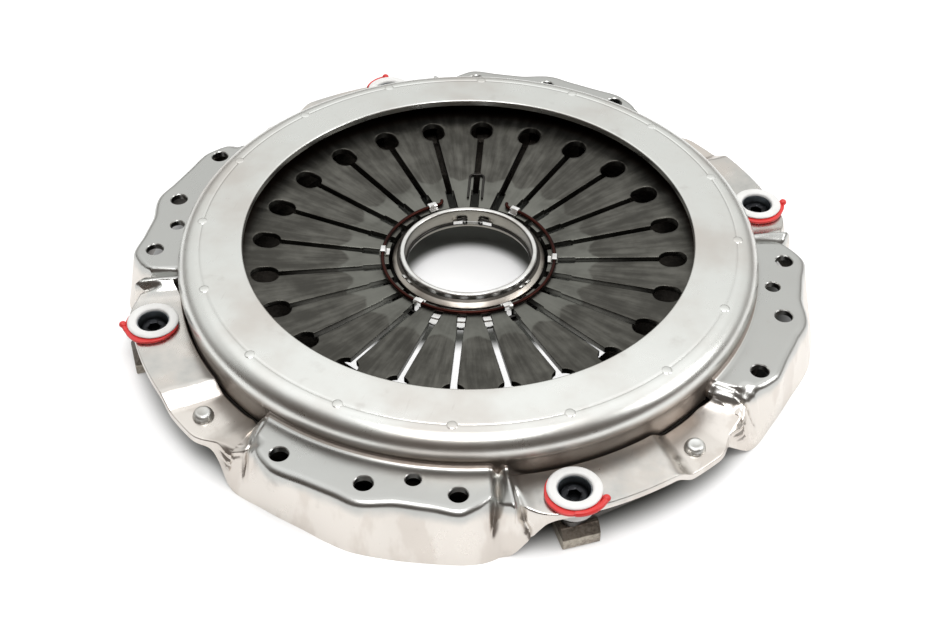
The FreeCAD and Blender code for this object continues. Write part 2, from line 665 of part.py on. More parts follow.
def lug_bolts():
    """Socket-head bolts with a collar under the head, which clamp the leaves to the lugs."""
    collar_at = polar(SLEEVE_CIRCLE_R, direction(SLEEVE_TURN), LEAF_TOP_Z + TOUCH)
    collar = post(LUG_BOLT_COLLAR_R, LUG_BOLT_COLLAR_HEIGHT, collar_at)
    seat = collar_at.z + LUG_BOLT_COLLAR_HEIGHT
    foot = polar(SLEEVE_CIRCLE_R, direction(SLEEVE_TURN), PLATE_LIFT_OFF + LUG_BOLT_END_GAP)
    head_at = polar(SLEEVE_CIRCLE_R, direction(SLEEVE_TURN), seat)
    shank = post(LUG_BOLT_SHANK_R, seat - foot.z, foot)
    head = post(LUG_BOLT_HEAD_R, LUG_BOLT_HEAD_HEIGHT, head_at)
    half = seat + LUG_BOLT_HEAD_HEIGHT / 2
    rim = [e for e in head.Edges if e.CenterOfMass.z > half and len(e.Vertexes) == 1]
    head = head.makeChamfer(LUG_BOLT_HEAD_CHAMFER, rim)
    floor = head_at + Vector(0, 0, LUG_BOLT_HEAD_HEIGHT - LUG_BOLT_SOCKET_DEPTH)
    bolt = shank.fuse([collar, head]).cut(hexagon(LUG_BOLT_SOCKET_R, LUG_BOLT_SOCKET_DEPTH + OVERRUN, floor))
    return Part.makeCompound(ring_of(bolt, QUARTERS))


def support_ring_z():
    """Height of the centre of the support ring under the finger tips."""
    return finger_top_z(SUPPORT_RING_R) - SPRING_THICKNESS - SUPPORT_WIRE_R - TOUCH


def release_sleeve():
    """Sleeve that the release bearing pulls on, with a flange under the finger tips."""
    flange_top = support_ring_z() - SUPPORT_WIRE_R - TOUCH
    flange_r = SUPPORT_RING_R + SLEEVE_FLANGE_OVERHANG
    c = SLEEVE_LIP_CHAMFER
    body = revolved([
        (SLEEVE_BORE_R, SLEEVE_BOTTOM_Z), (flange_r, SLEEVE_BOTTOM_Z), (flange_r, flange_top),
        (SLEEVE_OUTER_R, flange_top), (SLEEVE_OUTER_R, SLEEVE_TOP_Z - c), (SLEEVE_OUTER_R - c, SLEEVE_TOP_Z),
        (SLEEVE_BORE_R + c, SLEEVE_TOP_Z), (SLEEVE_BORE_R, SLEEVE_TOP_Z - c),
    ])
    half = SNAP_WIRE_R + TOUCH
    middle = SLEEVE_TOP_Z - SNAP_GROOVE_DROP
    near = SLEEVE_BORE_R - OVERRUN
    deep = SLEEVE_BORE_R + SNAP_GROOVE_DEPTH
    groove = revolved([
        (near, middle - half), (deep, middle - half), (deep, middle + half), (near, middle + half),
    ])
    return body.cut(groove)


def bearing_snap_ring():
    """Open wire ring in the groove of the sleeve's bore."""
    radius = SLEEVE_BORE_R + SNAP_GROOVE_DEPTH - SNAP_WIRE_R - TOUCH
    wire = wire_ring(radius, SNAP_WIRE_R, SLEEVE_TOP_Z - SNAP_GROOVE_DROP, FULL_TURN - SNAP_GAP)
    return turned(wire, SNAP_DIRECTION + SNAP_GAP / 2)


def support_ring():
    """Wire ring between the sleeve's flange and the finger tips."""
    return wire_ring(SUPPORT_RING_R, SUPPORT_WIRE_R, support_ring_z())


def preload_washer():
    """Dished ring that holds the finger tips down on the support ring."""
    rim_low = finger_top_z(PRELOAD_OUTER_R) + TOUCH
    rim_top = rim_low + PRELOAD_THICKNESS
    rim_inner = PRELOAD_OUTER_R - PRELOAD_RIM_WIDTH
    inner_r = SLEEVE_OUTER_R + PRELOAD_PLAY
    return revolved([
        (PRELOAD_OUTER_R, rim_low), (PRELOAD_OUTER_R, rim_top), (rim_inner, rim_top),
        (inner_r, rim_top - PRELOAD_DISH), (inner_r, rim_low - PRELOAD_DISH), (rim_inner, rim_low),
    ])


def finger_ring_z():
    """Height of the centre of the thin ring on the finger tips."""
    return finger_top_z(FINGER_RING_R) + FINGER_RING_WIRE_R + TOUCH


def finger_ring():
    """Thin ring lying on the finger tips."""
    return wire_ring(FINGER_RING_R, FINGER_RING_WIRE_R, finger_ring_z())


def ring_clip():
    """Clip from the preload washer over the thin ring, with a leg down between two fingers."""
    foot_low = finger_top_z(PRELOAD_OUTER_R) + PRELOAD_THICKNESS + 2 * TOUCH
    over = finger_ring_z() + FINGER_RING_WIRE_R + TOUCH
    back_r = FINGER_RING_R - FINGER_RING_WIRE_R - TOUCH
    front_r = FINGER_RING_R + FINGER_RING_WIRE_R + TOUCH
    foot_r = PRELOAD_OUTER_R - PRELOAD_RIM_WIDTH / 2
    shelf = finger_top_z(front_r) + 2 * TOUCH
    g = CLIP_GAUGE
    hoop = [
        (foot_r, foot_low), (back_r, foot_low), (back_r, over), (front_r, over), (front_r, shelf),
        (front_r + g, shelf), (front_r + g, over + g), (back_r - g, over + g), (back_r - g, foot_low + g),
        (foot_r, foot_low + g),
    ]
    loop = [Vector(r, -CLIP_WIDTH / 2, z) for r, z in hoop]
    band = Part.Face(Part.makePolygon(loop + loop[:1])).extrude(Vector(0, CLIP_WIDTH, 0))
    leg_corner = Vector(front_r, -CLIP_LEG_WIDTH / 2, shelf + g - CLIP_LEG_DEPTH)
    leg = Part.makeBox(g, CLIP_LEG_WIDTH, CLIP_LEG_DEPTH, leg_corner)
    return band.fuse(leg).removeSplitter()


def ring_clips():
    """The clips, each over a slot."""
    return Part.makeCompound(ring_of(turned(ring_clip(), CLIP_DIRECTION), CLIP_COUNT))


def locking_wire():
    """Bent wire with two legs and a cross bar, lying on the fingers beside one slot."""
    z_in = finger_top_z(LOCK_WIRE_INNER_R) + LOCK_WIRE_R + TOUCH
    slope = TIP_FALL / (KEYHOLE_CIRCLE_R - SPRING_TIP_R)
    half = LOCK_WIRE_HALF_SPAN
    bend = LOCK_WIRE_BEND_R
    far = LOCK_WIRE_LENGTH
    k = bend * (1 - math.sqrt(0.5))
    path = []
    for side in (-1, 1):
        foot = Vector(0, side * half, 0)
        bend_start = Vector(far - bend, side * half, 0)
        bend_middle = Vector(far - k, side * (half - k), 0)
        bend_end = Vector(far, side * (half - bend), 0)
        path.append(Part.LineSegment(foot, bend_start).toShape())
        path.append(Part.Arc(bend_start, bend_middle, bend_end).toShape())
    path.append(Part.LineSegment(Vector(far, bend - half, 0), Vector(far, half - bend, 0)).toShape())
    section = [Vector(0, y - half, z) for y, z in wire_section(0, LOCK_WIRE_R, 0)]
    outline = Part.makePolygon(section + section[:1])
    wire = Part.Wire(Part.__sortEdges__(path)).makePipeShell([outline], True, False)
    wire.rotate(ORIGIN, Vector(0, 1, 0), -math.degrees(math.atan(slope)))
    wire.translate(Vector(LOCK_WIRE_INNER_R, 0, z_in))
    return turned(wire, SNAP_DIRECTION)


def spacer_place(index, z):
    """Axis point of one transport sleeve at a height."""
    return polar(SLEEVE_CIRCLE_R, direction(SLEEVE_TURN) + QUARTER_TURN * index, z)


def transport_sleeve(index):
    """Flanged plastic sleeve standing on the leaves round the bolt head."""
    low = LEAF_TOP_Z + TOUCH
    top = low + SPACER_HEIGHT
    under = top - SPACER_FLANGE_THICKNESS
    e = SPACER_EDGE_R
    body = revolved([
        (SPACER_BORE_R, low), (SPACER_NECK_R, low), (SPACER_NECK_R, under), (SPACER_FLANGE_R, under),
        (SPACER_FLANGE_R, top - e), (SPACER_FLANGE_R - e, top), (SPACER_BORE_R + e, top),
        (SPACER_BORE_R, top - e),
    ])
    body.translate(spacer_place(index, 0))
    return body


def tie(index):
    """Flat tie round the neck, under the flange, with its tail sticking out."""
    top = LEAF_TOP_Z + TOUCH + SPACER_HEIGHT - SPACER_FLANGE_THICKNESS - TOUCH
    low = top - TIE_THICKNESS
    centre = spacer_place(index, low)
    band = washer(TIE_OUTER_R, SPACER_NECK_R + TOUCH, TIE_THICKNESS, centre)
    tail_corner = Vector(TIE_OUTER_R - TIE_TAIL_ROOT, -TIE_TAIL_WIDTH / 2, 0)
    tail = Part.makeBox(TIE_TAIL_LENGTH, TIE_TAIL_WIDTH, TIE_THICKNESS, tail_corner)
    tail.rotate(ORIGIN, UP, direction(SLEEVE_TURN) + QUARTER_TURN * index - TIE_TAIL_TURN)
    tail.translate(centre)
    return band.fuse(tail).removeSplitter()


def write(name, shape):
    """Save one sub-part."""
    shape.exportStep(os.path.join("parts", name + ".step"))
    print(name, "solids", len(shape.Solids), "valid", shape.isValid(), "volume", round(shape.Volume))


def main():
    """Build and save every sub-part."""
    os.makedirs("parts", exist_ok=True)
    write("cover", cover())
    write("fulcrum_ring", fulcrum_ring())
    write("ear_rivets", ear_rivets())
    write("diaphragm_spring", diaphragm_spring())
    write("pressure_plate", pressure_plate())
    write("lug_bolts", lug_bolts())
    write("release_sleeve", release_sleeve())
    write("bearing_snap_ring", bearing_snap_ring())
    write("support_ring", support_ring())
    write("preload_washer", preload_washer())
    write("finger_ring", finger_ring())
    write("ring_clips", ring_clips())
    write("locking_wire", locking_wire())
    for i in range(QUARTERS):
        write("leaf_spring_%d" % (i + 1), leaf_spring(i))
        write("transport_sleeve_%d" % (i + 1), transport_sleeve(i))
        write("tie_%d" % (i + 1), tie(i))


main()
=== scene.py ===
"""Clutch cover assembly, pull type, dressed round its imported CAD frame."""

import json
import logging
import math
from dataclasses import dataclass
from enum import Enum

import bmesh
import bpy
import numpy as np
from mathutils import Matrix


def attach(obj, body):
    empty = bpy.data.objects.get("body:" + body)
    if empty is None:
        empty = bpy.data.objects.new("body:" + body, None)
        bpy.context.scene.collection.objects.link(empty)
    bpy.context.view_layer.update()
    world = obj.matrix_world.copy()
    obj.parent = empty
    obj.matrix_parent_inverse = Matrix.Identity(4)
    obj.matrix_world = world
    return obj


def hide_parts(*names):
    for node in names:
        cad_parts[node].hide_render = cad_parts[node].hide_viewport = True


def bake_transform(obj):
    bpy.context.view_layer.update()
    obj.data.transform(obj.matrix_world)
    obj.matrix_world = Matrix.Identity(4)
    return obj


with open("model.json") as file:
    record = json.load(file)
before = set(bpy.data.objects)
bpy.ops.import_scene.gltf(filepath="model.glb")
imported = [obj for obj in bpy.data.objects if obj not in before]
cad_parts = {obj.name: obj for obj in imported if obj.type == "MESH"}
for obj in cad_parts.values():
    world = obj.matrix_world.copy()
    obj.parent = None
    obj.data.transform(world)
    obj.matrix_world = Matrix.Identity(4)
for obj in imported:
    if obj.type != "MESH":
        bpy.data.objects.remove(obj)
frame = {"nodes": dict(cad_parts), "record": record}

LOG = logging.getLogger("clutch_cover")
MM = 0.001
CREASE = 38.0
MERGE_DISTANCE = 2e-6
SHORTEST_EDGE = 1e-6
Array = np.ndarray
Profile = list[tuple[float, float]]


class Body(Enum):
    """The CAD bodies that pieces ride on."""

    COVER = "cover"
    PLATE = "pressure_plate"
    RELEASE = "release"

    @staticmethod
    def transport_sleeve(index: int) -> str:
        """Name of the body of one transport sleeve, counted from 1."""
        return f"transport_sleeve_{index}"


class Slot(Enum):
    """The record's material slots."""

    COVER = "cover_steel"
    WIRE = "wire_steel"
    RIVET = "rivet_steel"
    SPRING = "spring_steel"
    PLATE = "plate_iron"
    BOLT = "bolt_steel"
    SLEEVE = "sleeve_steel"
    BRIGHT = "bright_steel"
    COPPER = "ring_copper"
    LEAF = "leaf_steel"
    WHITE = "white_plastic"
    RED = "red_plastic"


@dataclass(frozen=True)
class Layout:
    """Sizes shared by several pieces, in millimetres and degrees, as in the CAD."""

    quarters: int = 4
    first_bolt: float = 255.0
    height: float = 64.0
    sheet: float = 5.0
    opening_r: float = 158.4
    seam_r: float = 188.4
    seam_z: float = 62.8
    drum_r: float = 204.5
    bend_r: float = 14.5
    waist_r: float = 202.4
    land_z: float = 39.8
    waist_rise: float = 3.6
    fillet_run: float = 6.0
    wall_low_z: float = 41.2
    bolt_circle_r: float = 225.0
    sleeve_turn: float = 48.3
    sleeve_circle_r: float = 225.5
    rivet_turn: float = 71.5
    ear_fall: float = 15.5
    slot_direction: float = 12.47
    fingers: int = 24
    pips: int = 16
    pip_direction: float = 13.48

    def direction(self, turn: float) -> float:
        """Angle from +X, in degrees, of a turn counted from the first bolt."""
        return self.first_bolt + turn

    def place(self, radius: float, turn: float, z: float) -> Array:
        """Point at a radius, turn and height."""
        a = math.radians(self.direction(turn))
        return np.array([radius * math.cos(a), radius * math.sin(a), z])


LAYOUT = Layout()


def smooth_through(x: Array, knots: Array, values: Array) -> Array:
    """Monotone cubic through knots: Hermite pieces whose slopes are the harmonic mean of their neighbours.

    Args:
        x: Where the curve is read.
        knots: Rising positions of the known values.
        values: Known values.

    Returns:
        The curve at x, without overshoot between knots.
    """
    step = np.diff(knots)
    slope = np.diff(values) / step
    both = slope[:-1] * slope[1:]
    total = np.where(np.abs(slope[:-1] + slope[1:]) < 1e-9, 1.0, slope[:-1] + slope[1:])
    inner = np.where(both > 0, 2 * both / total, 0.0)
    tangent = np.concatenate([slope[:1], inner, slope[-1:]])
    i = np.clip(np.searchsorted(knots, x, side="right") - 1, 0, len(step) - 1)
    t = np.clip((x - knots[i]) / step[i], 0, 1)
    h00 = (1 + 2 * t) * (1 - t) ** 2
    h10 = t * (1 - t) ** 2
    h01 = t * t * (3 - 2 * t)
    h11 = t * t * (t - 1)
    return (h00 * values[i] + h10 * step[i] * tangent[i]
            + h01 * values[i + 1] + h11 * step[i] * tangent[i + 1])


def bell(distance: Array, width: float) -> Array:
    """Smooth bump of height 1 that falls off over a width."""
    return np.exp(-(distance / width) ** 2)


def arc_points(centre: tuple[float, float], radius: float, start: float, end: float, count: int) -> Profile:
    """Points of an arc in a radial half plane, angles in degrees above the horizontal."""
    angles = np.radians(np.linspace(start, end, count))
    return [(centre[0] + radius * math.cos(a), centre[1] + radius * math.sin(a)) for a in angles]


def fine(profile: Profile, step: float) -> Profile:
    """Profile with points added so that no run is longer than a step."""
    out: Profile = []
    for (r0, z0), (r1, z1) in zip(profile, profile[1:]):
        parts = max(1, math.ceil(math.hypot(r1 - r0, z1 - z0) / step))
        out += [(r0 + (r1 - r0) * i / parts, z0 + (z1 - z0) * i / parts) for i in range(parts)]
    return out + [profile[-1]]


def softened(profile: Profile, radius: float, count: int = 3) -> Profile:
    """Closed profile with each corner cut into a short round of quadratic curves."""
    points = np.array(profile, float)
    before = np.roll(points, 1, axis=0) - points
    after = np.roll(points, -1, axis=0) - points
    out: Profile = []
    for p, b, a in zip(points, before, after):
        cut = min(radius, 0.45 * np.linalg.norm(b), 0.45 * np.linalg.norm(a))
        start = p + b / np.linalg.norm(b) * cut
        end = p + a / np.linalg.norm(a) * cut
        for t in np.linspace(0, 1, count + 1):
            q = (1 - t) ** 2 * start + 2 * t * (1 - t) * p + t * t * end
            out.append((float(q[0]), float(q[1])))
    return out


@dataclass
class Surface:
    """Quads in millimetres."""

    points: Array
    quads: Array

    @staticmethod
    def grid(points: Array, wrap_rows: bool = False, wrap_columns: bool = False) -> "Surface":
        """Surface of a lattice of points, rows by columns by 3, closed in the directions named."""
        rows, columns = points.shape[:2]
        number = np.arange(rows * columns).reshape(rows, columns)
        if wrap_rows:
            number = np.vstack([number, number[:1]])
        if wrap_columns:
            number = np.hstack([number, number[:, :1]])
        quads = np.stack([number[:-1, :-1], number[1:, :-1], number[1:, 1:], number[:-1, 1:]], -1)
        return Surface(points.reshape(-1, 3), quads.reshape(-1, 4))

    @staticmethod
    def tube(points: Array) -> "Surface":
        """Closed skin over closed loops of points, loops by points by 3, with a flat lid on each end."""
        loops, count = points.shape[:2]
        skin = Surface.grid(points, wrap_columns=True)
        half = count // 2
        i = np.arange(half - 1)
        lid = np.stack([i, i + 1, count - 2 - i, count - 1 - i], -1)
        last = lid + (loops - 1) * count
        return Surface(skin.points, np.vstack([skin.quads, lid, last]))

    @staticmethod
    def lathe(profile: Profile, segments: int, start: float = 0.0, sweep: float = 360.0) -> "Surface":
        """Closed profile of (radius, height) points turned round the axis."""
        full = abs(sweep - 360.0) < 1e-6
        angles = np.radians(start + np.linspace(0, sweep, segments + (0 if full else 1), endpoint=not full))
        r, z = np.array(profile, float).T
        x = np.cos(angles)[:, None] * r
        y = np.sin(angles)[:, None] * r
        points = np.stack([x, y, np.broadcast_to(z, x.shape)], -1)
        if full:
            return Surface.grid(points, wrap_rows=True, wrap_columns=True)
        return Surface.tube(points)

    @staticmethod
    def ring(radius: float, wire_r: float, z: float, segments: int = 160, sides: int = 14,
             start: float = 0.0, sweep: float = 360.0) -> "Surface":
        """Round wire bent round the axis: a circle of points carried round."""
        around = np.linspace(0, 2 * math.pi, sides, endpoint=False) + math.pi / sides
        section = [(radius + wire_r * math.cos(a), z + wire_r * math.sin(a)) for a in around]
        return Surface.lathe(section, segments, start, sweep)

    @staticmethod
    def pipe(path: Array, radius: float, sides: int = 12) -> "Surface":
        """Round wire along a path: a circle square to the path's direction at each of its points.

        Args:
            path: Points of the middle line, none of whose runs is upright.
            radius: Radius of the wire.
            sides: Points round each circle.

        Returns:
            Closed skin of the wire.
        """
        way = np.gradient(path, axis=0)
        way /= np.linalg.norm(way, axis=1)[:, None]
        side = np.cross(way, [0.0, 0.0, 1.0])
        side /= np.linalg.norm(side, axis=1)[:, None]
        up = np.cross(side, way)
        a = np.linspace(0, 2 * math.pi, sides, endpoint=False)[None, :, None] + math.pi / sides
        return Surface.tube(path[:, None] + radius * (np.cos(a) * side[:, None] + np.sin(a) * up[:, None]))

    @staticmethod
    def strip(section: Profile, half_width: float, edge: float = 0.25) -> "Surface":
        """Closed (x, z) section drawn out along y, its ends drawn in a little towards the section's middle.

        Args:
            section: Points out along one side and back along the other, as many on each.
            half_width: Half of the strip's width.
            edge: How far the rounded ends draw in.

        Returns:
            Closed strip that runs from -half_width to half_width.
        """
        flat = np.array(section, float)
        inward = flat.mean(axis=0) - flat
        inward /= np.maximum(np.linalg.norm(inward, axis=1), 1e-6)[:, None]
        y = np.array([-1, -1, -1, 1, 1, 1]) * half_width + np.array([0, 0.3, 1, -1, -0.3, 0]) * edge
        draw = np.array([1, 0.3, 0, 0, 0.3, 1]) * edge
        xz = flat[None] + inward[None] * draw[:, None, None]
        return Surface.tube(np.stack([xz[..., 0], np.broadcast_to(y[:, None], xz.shape[:2]), xz[..., 1]], -1))

    @staticmethod
    def joined(parts: list["Surface"]) -> "Surface":
        """Several surfaces as one."""
        starts = np.cumsum([0] + [len(p.points) for p in parts[:-1]])
        quads = np.vstack([p.quads + s for p, s in zip(parts, starts)])
        return Surface(np.vstack([p.points for p in parts]), quads)

    def turned(self, degrees: float) -> "Surface":
        """Copy turned about the axis."""
        c, s = math.cos(math.radians(degrees)), math.sin(math.radians(degrees))
        return Surface(self.points @ np.array([[c, s, 0], [-s, c, 0], [0, 0, 1]]), self.quads)

    def moved(self, offset: Array) -> "Surface":
        """Copy moved by an offset."""
        return Surface(self.points + offset, self.quads)

    def mesh(self, name: str, crease: float = CREASE) -> bpy.types.Mesh:
        """Mesh in metres with merged doubles, outward faces and smooth shading up to a crease angle."""
        mesh = bpy.data.meshes.new(name)
        mesh.vertices.add(len(self.points))
        mesh.vertices.foreach_set("co", (self.points * MM).astype(np.float32).ravel())
        mesh.loops.add(self.quads.size)
        mesh.loops.foreach_set("vertex_index", self.quads.astype(np.int32).ravel())
        mesh.polygons.add(len(self.quads))
        mesh.polygons.foreach_set("loop_start", np.arange(0, self.quads.size, 4, dtype=np.int32))
        mesh.update(calc_edges=True)
        mesh.validate()
        work = bmesh.new()
        work.from_mesh(mesh)
        bmesh.ops.remove_doubles(work, verts=work.verts, dist=MERGE_DISTANCE)
        bmesh.ops.dissolve_degenerate(work, dist=SHORTEST_EDGE, edges=work.edges)
        bmesh.ops.recalc_face_normals(work, faces=work.faces)
        work.to_mesh(mesh)
        work.free()
        shade(mesh, crease)
        return mesh


def shade(mesh: bpy.types.Mesh, crease: float) -> None:
    """Smooth shading, with sharp edges where faces meet at more than an angle in degrees."""
    mesh.polygons.foreach_set("use_smooth", np.ones(len(mesh.polygons), bool))
    mesh.set_sharp_from_angle(angle=math.radians(crease))
    mesh.update()


def add_piece(name: str, mesh: bpy.types.Mesh, material: bpy.types.Material, slot: Slot) -> bpy.types.Object:
    """Object at the origin with its material.

    Args:
        name: Piece name.
        mesh: Finished mesh, in the row frame.
        material: Its finish.
        slot: The record's slot for that finish; not used.

    Returns:
        The new object.
    """
    obj = bpy.data.objects.new(name, mesh)
    bpy.context.scene.collection.objects.link(obj)
    mesh.materials.clear()
    mesh.materials.append(material)
    return obj


def report(obj: bpy.types.Object, carrier: str) -> None:
    """Logs a finished piece."""
    LOG.info("%s: %d faces, rides on %s", obj.name, len(obj.data.polygons), carrier)


def ride(obj: bpy.types.Object, body: str, *replaced: str) -> bpy.types.Object:
    """Puts a piece on its body and hides the CAD nodes it stands for."""
    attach(obj, body)
    if replaced:
        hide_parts(*replaced)
    report(obj, body)
    return obj


Value = "float | Wire"


@dataclass
class Wire:
    """Output socket of a shader node, with arithmetic that adds Math nodes."""

    shader: "Graph"
    socket: bpy.types.NodeSocket

    def _math(self, operation: str, first: Value, second: Value) -> "Wire":
        """Math node on two values."""
        return self.shader.node("ShaderNodeMath", {"operation": operation}, {0: first, 1: second})

    def __add__(self, other: Value) -> "Wire":
        """Sum."""
        return self._math("ADD", self, other)

    __radd__ = __add__

    def __mul__(self, other: Value) -> "Wire":
        """Product."""
        return self._math("MULTIPLY", self, other)

    __rmul__ = __mul__

    def __sub__(self, other: Value) -> "Wire":
        """Difference."""
        return self._math("SUBTRACT", self, other)

    def __rsub__(self, other: Value) -> "Wire":
        """Difference from a number."""
        return self._math("SUBTRACT", other, self)

    def __pow__(self, other: Value) -> "Wire":
        """Power."""
        return self._math("POWER", self, other)


Colour = tuple[float, float, float]


class Graph:
    """Node tree whose nodes are added by one method."""

    def __init__(self, tree: bpy.types.NodeTree) -> None:
        """Keeps the tree."""
        self.tree = tree

    def node(self, kind: str, settings: dict | None = None, sockets: dict | None = None,
             output: int | str = 0) -> Wire:
        """Adds a node.

        Args:
            kind: Blender's node type.
            settings: Attributes set first; "stops" holds a ramp's (place, colour) pairs.
            sockets: Values or wires by socket name or number.
            output: The output that the wire is taken from.

        Returns:
            A wire from that output.
        """
        made = self.tree.nodes.new(kind)
        for key, value in (settings or {}).items():
            if key == "stops":
                self._ramp(made.color_ramp, value)
            else:
                setattr(made, key, value)
        for key, value in (sockets or {}).items():
            if isinstance(value, Wire):
                self.tree.links.new(value.socket, made.inputs[key])
            elif isinstance(value, tuple) and made.inputs[key].type == "RGBA":
                made.inputs[key].default_value = (*value, 1.0)[:4]
            else:
                made.inputs[key].default_value = value
        return Wire(self, made.outputs[output])

    @staticmethod
    def _ramp(ramp: bpy.types.ColorRamp, stops: list[tuple[float, float | Colour]]) -> None:
        """Sets a ramp's stops."""
        while len(ramp.elements) < len(stops):
            ramp.elements.new(0.5)
        for element, (place, colour) in zip(ramp.elements, stops):
            element.position = place
            element.color = (*colour, 1.0) if isinstance(colour, tuple) else (colour, colour, colour, 1.0)

    def split(self, vector: Wire) -> tuple[Wire, Wire, Wire]:
        """Three numbers of a vector."""
        made = self.node("ShaderNodeSeparateXYZ", sockets={0: vector})
        outputs = made.socket.node.outputs
        return Wire(self, outputs[0]), Wire(self, outputs[1]), Wire(self, outputs[2])

    def join(self, x: Value, y: Value, z: Value) -> Wire:
        """Vector of three numbers."""
        return self.node("ShaderNodeCombineXYZ", sockets={0: x, 1: y, 2: z})

    def between(self, value: Wire, low: float, high: float, to_low: float = 0.0, to_high: float = 1.0,
                smooth: bool = True) -> Wire:
        """Value mapped from one range to another and clamped."""
        kind = "SMOOTHSTEP" if smooth else "LINEAR"
        limits = {"From Min": low, "From Max": high, "To Min": to_low, "To Max": to_high}
        return self.node("ShaderNodeMapRange", {"interpolation_type": kind}, {"Value": value, **limits})

    def mix(self, factor: Value, first: Colour | Wire, second: Colour | Wire, blend: str = "MIX") -> Wire:
        """Colour mix."""
        return self.node("ShaderNodeMix", {"data_type": "RGBA", "blend_type": blend, "clamp_result": True},
                         {0: factor, 6: first, 7: second}, output=2)


class Shader(Graph):
    """Node material round one Principled shader, in Object coordinates."""

    def __init__(self, name: str, **constants: float | Colour) -> None:
        """Starts a material and sets the shader's own sockets."""
        self.material = bpy.data.materials.new(name)
        self.material.use_nodes = True
        super().__init__(self.material.node_tree)
        self.bsdf = next(n for n in self.tree.nodes if n.type == "BSDF_PRINCIPLED")
        for socket, value in constants.items():
            entry = self.bsdf.inputs[socket.replace("_", " ").title().replace("Ior", "IOR")]
            entry.default_value = (*value, 1.0) if isinstance(value, tuple) else value

    def place(self) -> Wire:
        """Object coordinates."""
        return self.node("ShaderNodeTexCoord", output="Object")

    def radius(self) -> Wire:
        """Distance from the clutch's axis, in metres."""
        x, y, _ = self.split(self.place())
        return (x * x + y * y) ** 0.5

    def noise(self, scale: float, detail: float = 3.0, stretch: Colour = (1.0, 1.0, 1.0),
              roughness: float = 0.55, vector: Wire | None = None) -> Wire:
        """Noise from 0 to 1 in Object coordinates, with features about 1/scale metres wide."""
        where = vector or self.place()
        mapped = self.node("ShaderNodeMapping", sockets={"Vector": where, "Scale": stretch})
        return self.node("ShaderNodeTexNoise",
                         sockets={"Vector": mapped, "Scale": scale, "Detail": detail, "Roughness": roughness})

    def height(self) -> Wire:
        """Height above the floor, in metres."""
        return self.split(self.place())[2]

    def polar(self) -> tuple[Wire, Wire]:
        """Distance from the axis in metres, and angle round it in radians."""
        x, y, _ = self.split(self.place())
        return (x * x + y * y) ** 0.5, self.node("ShaderNodeMath", {"operation": "ARCTAN2"}, {0: y, 1: x})

    def feed(self, socket: str, wire: Wire) -> None:
        """Links a wire to one of the shader's own sockets."""
        self.tree.links.new(wire.socket, self.bsdf.inputs[socket])

    def bump(self, height: Wire, distance: float, strength: float = 1.0, under: Wire | None = None) -> Wire:
        """Bump of a height from 0 to 1 that stands for a distance in metres."""
        sockets: dict = {"Height": height, "Distance": distance, "Strength": strength}
        if under is not None:
            sockets["Normal"] = under
        return self.node("ShaderNodeBump", sockets=sockets)


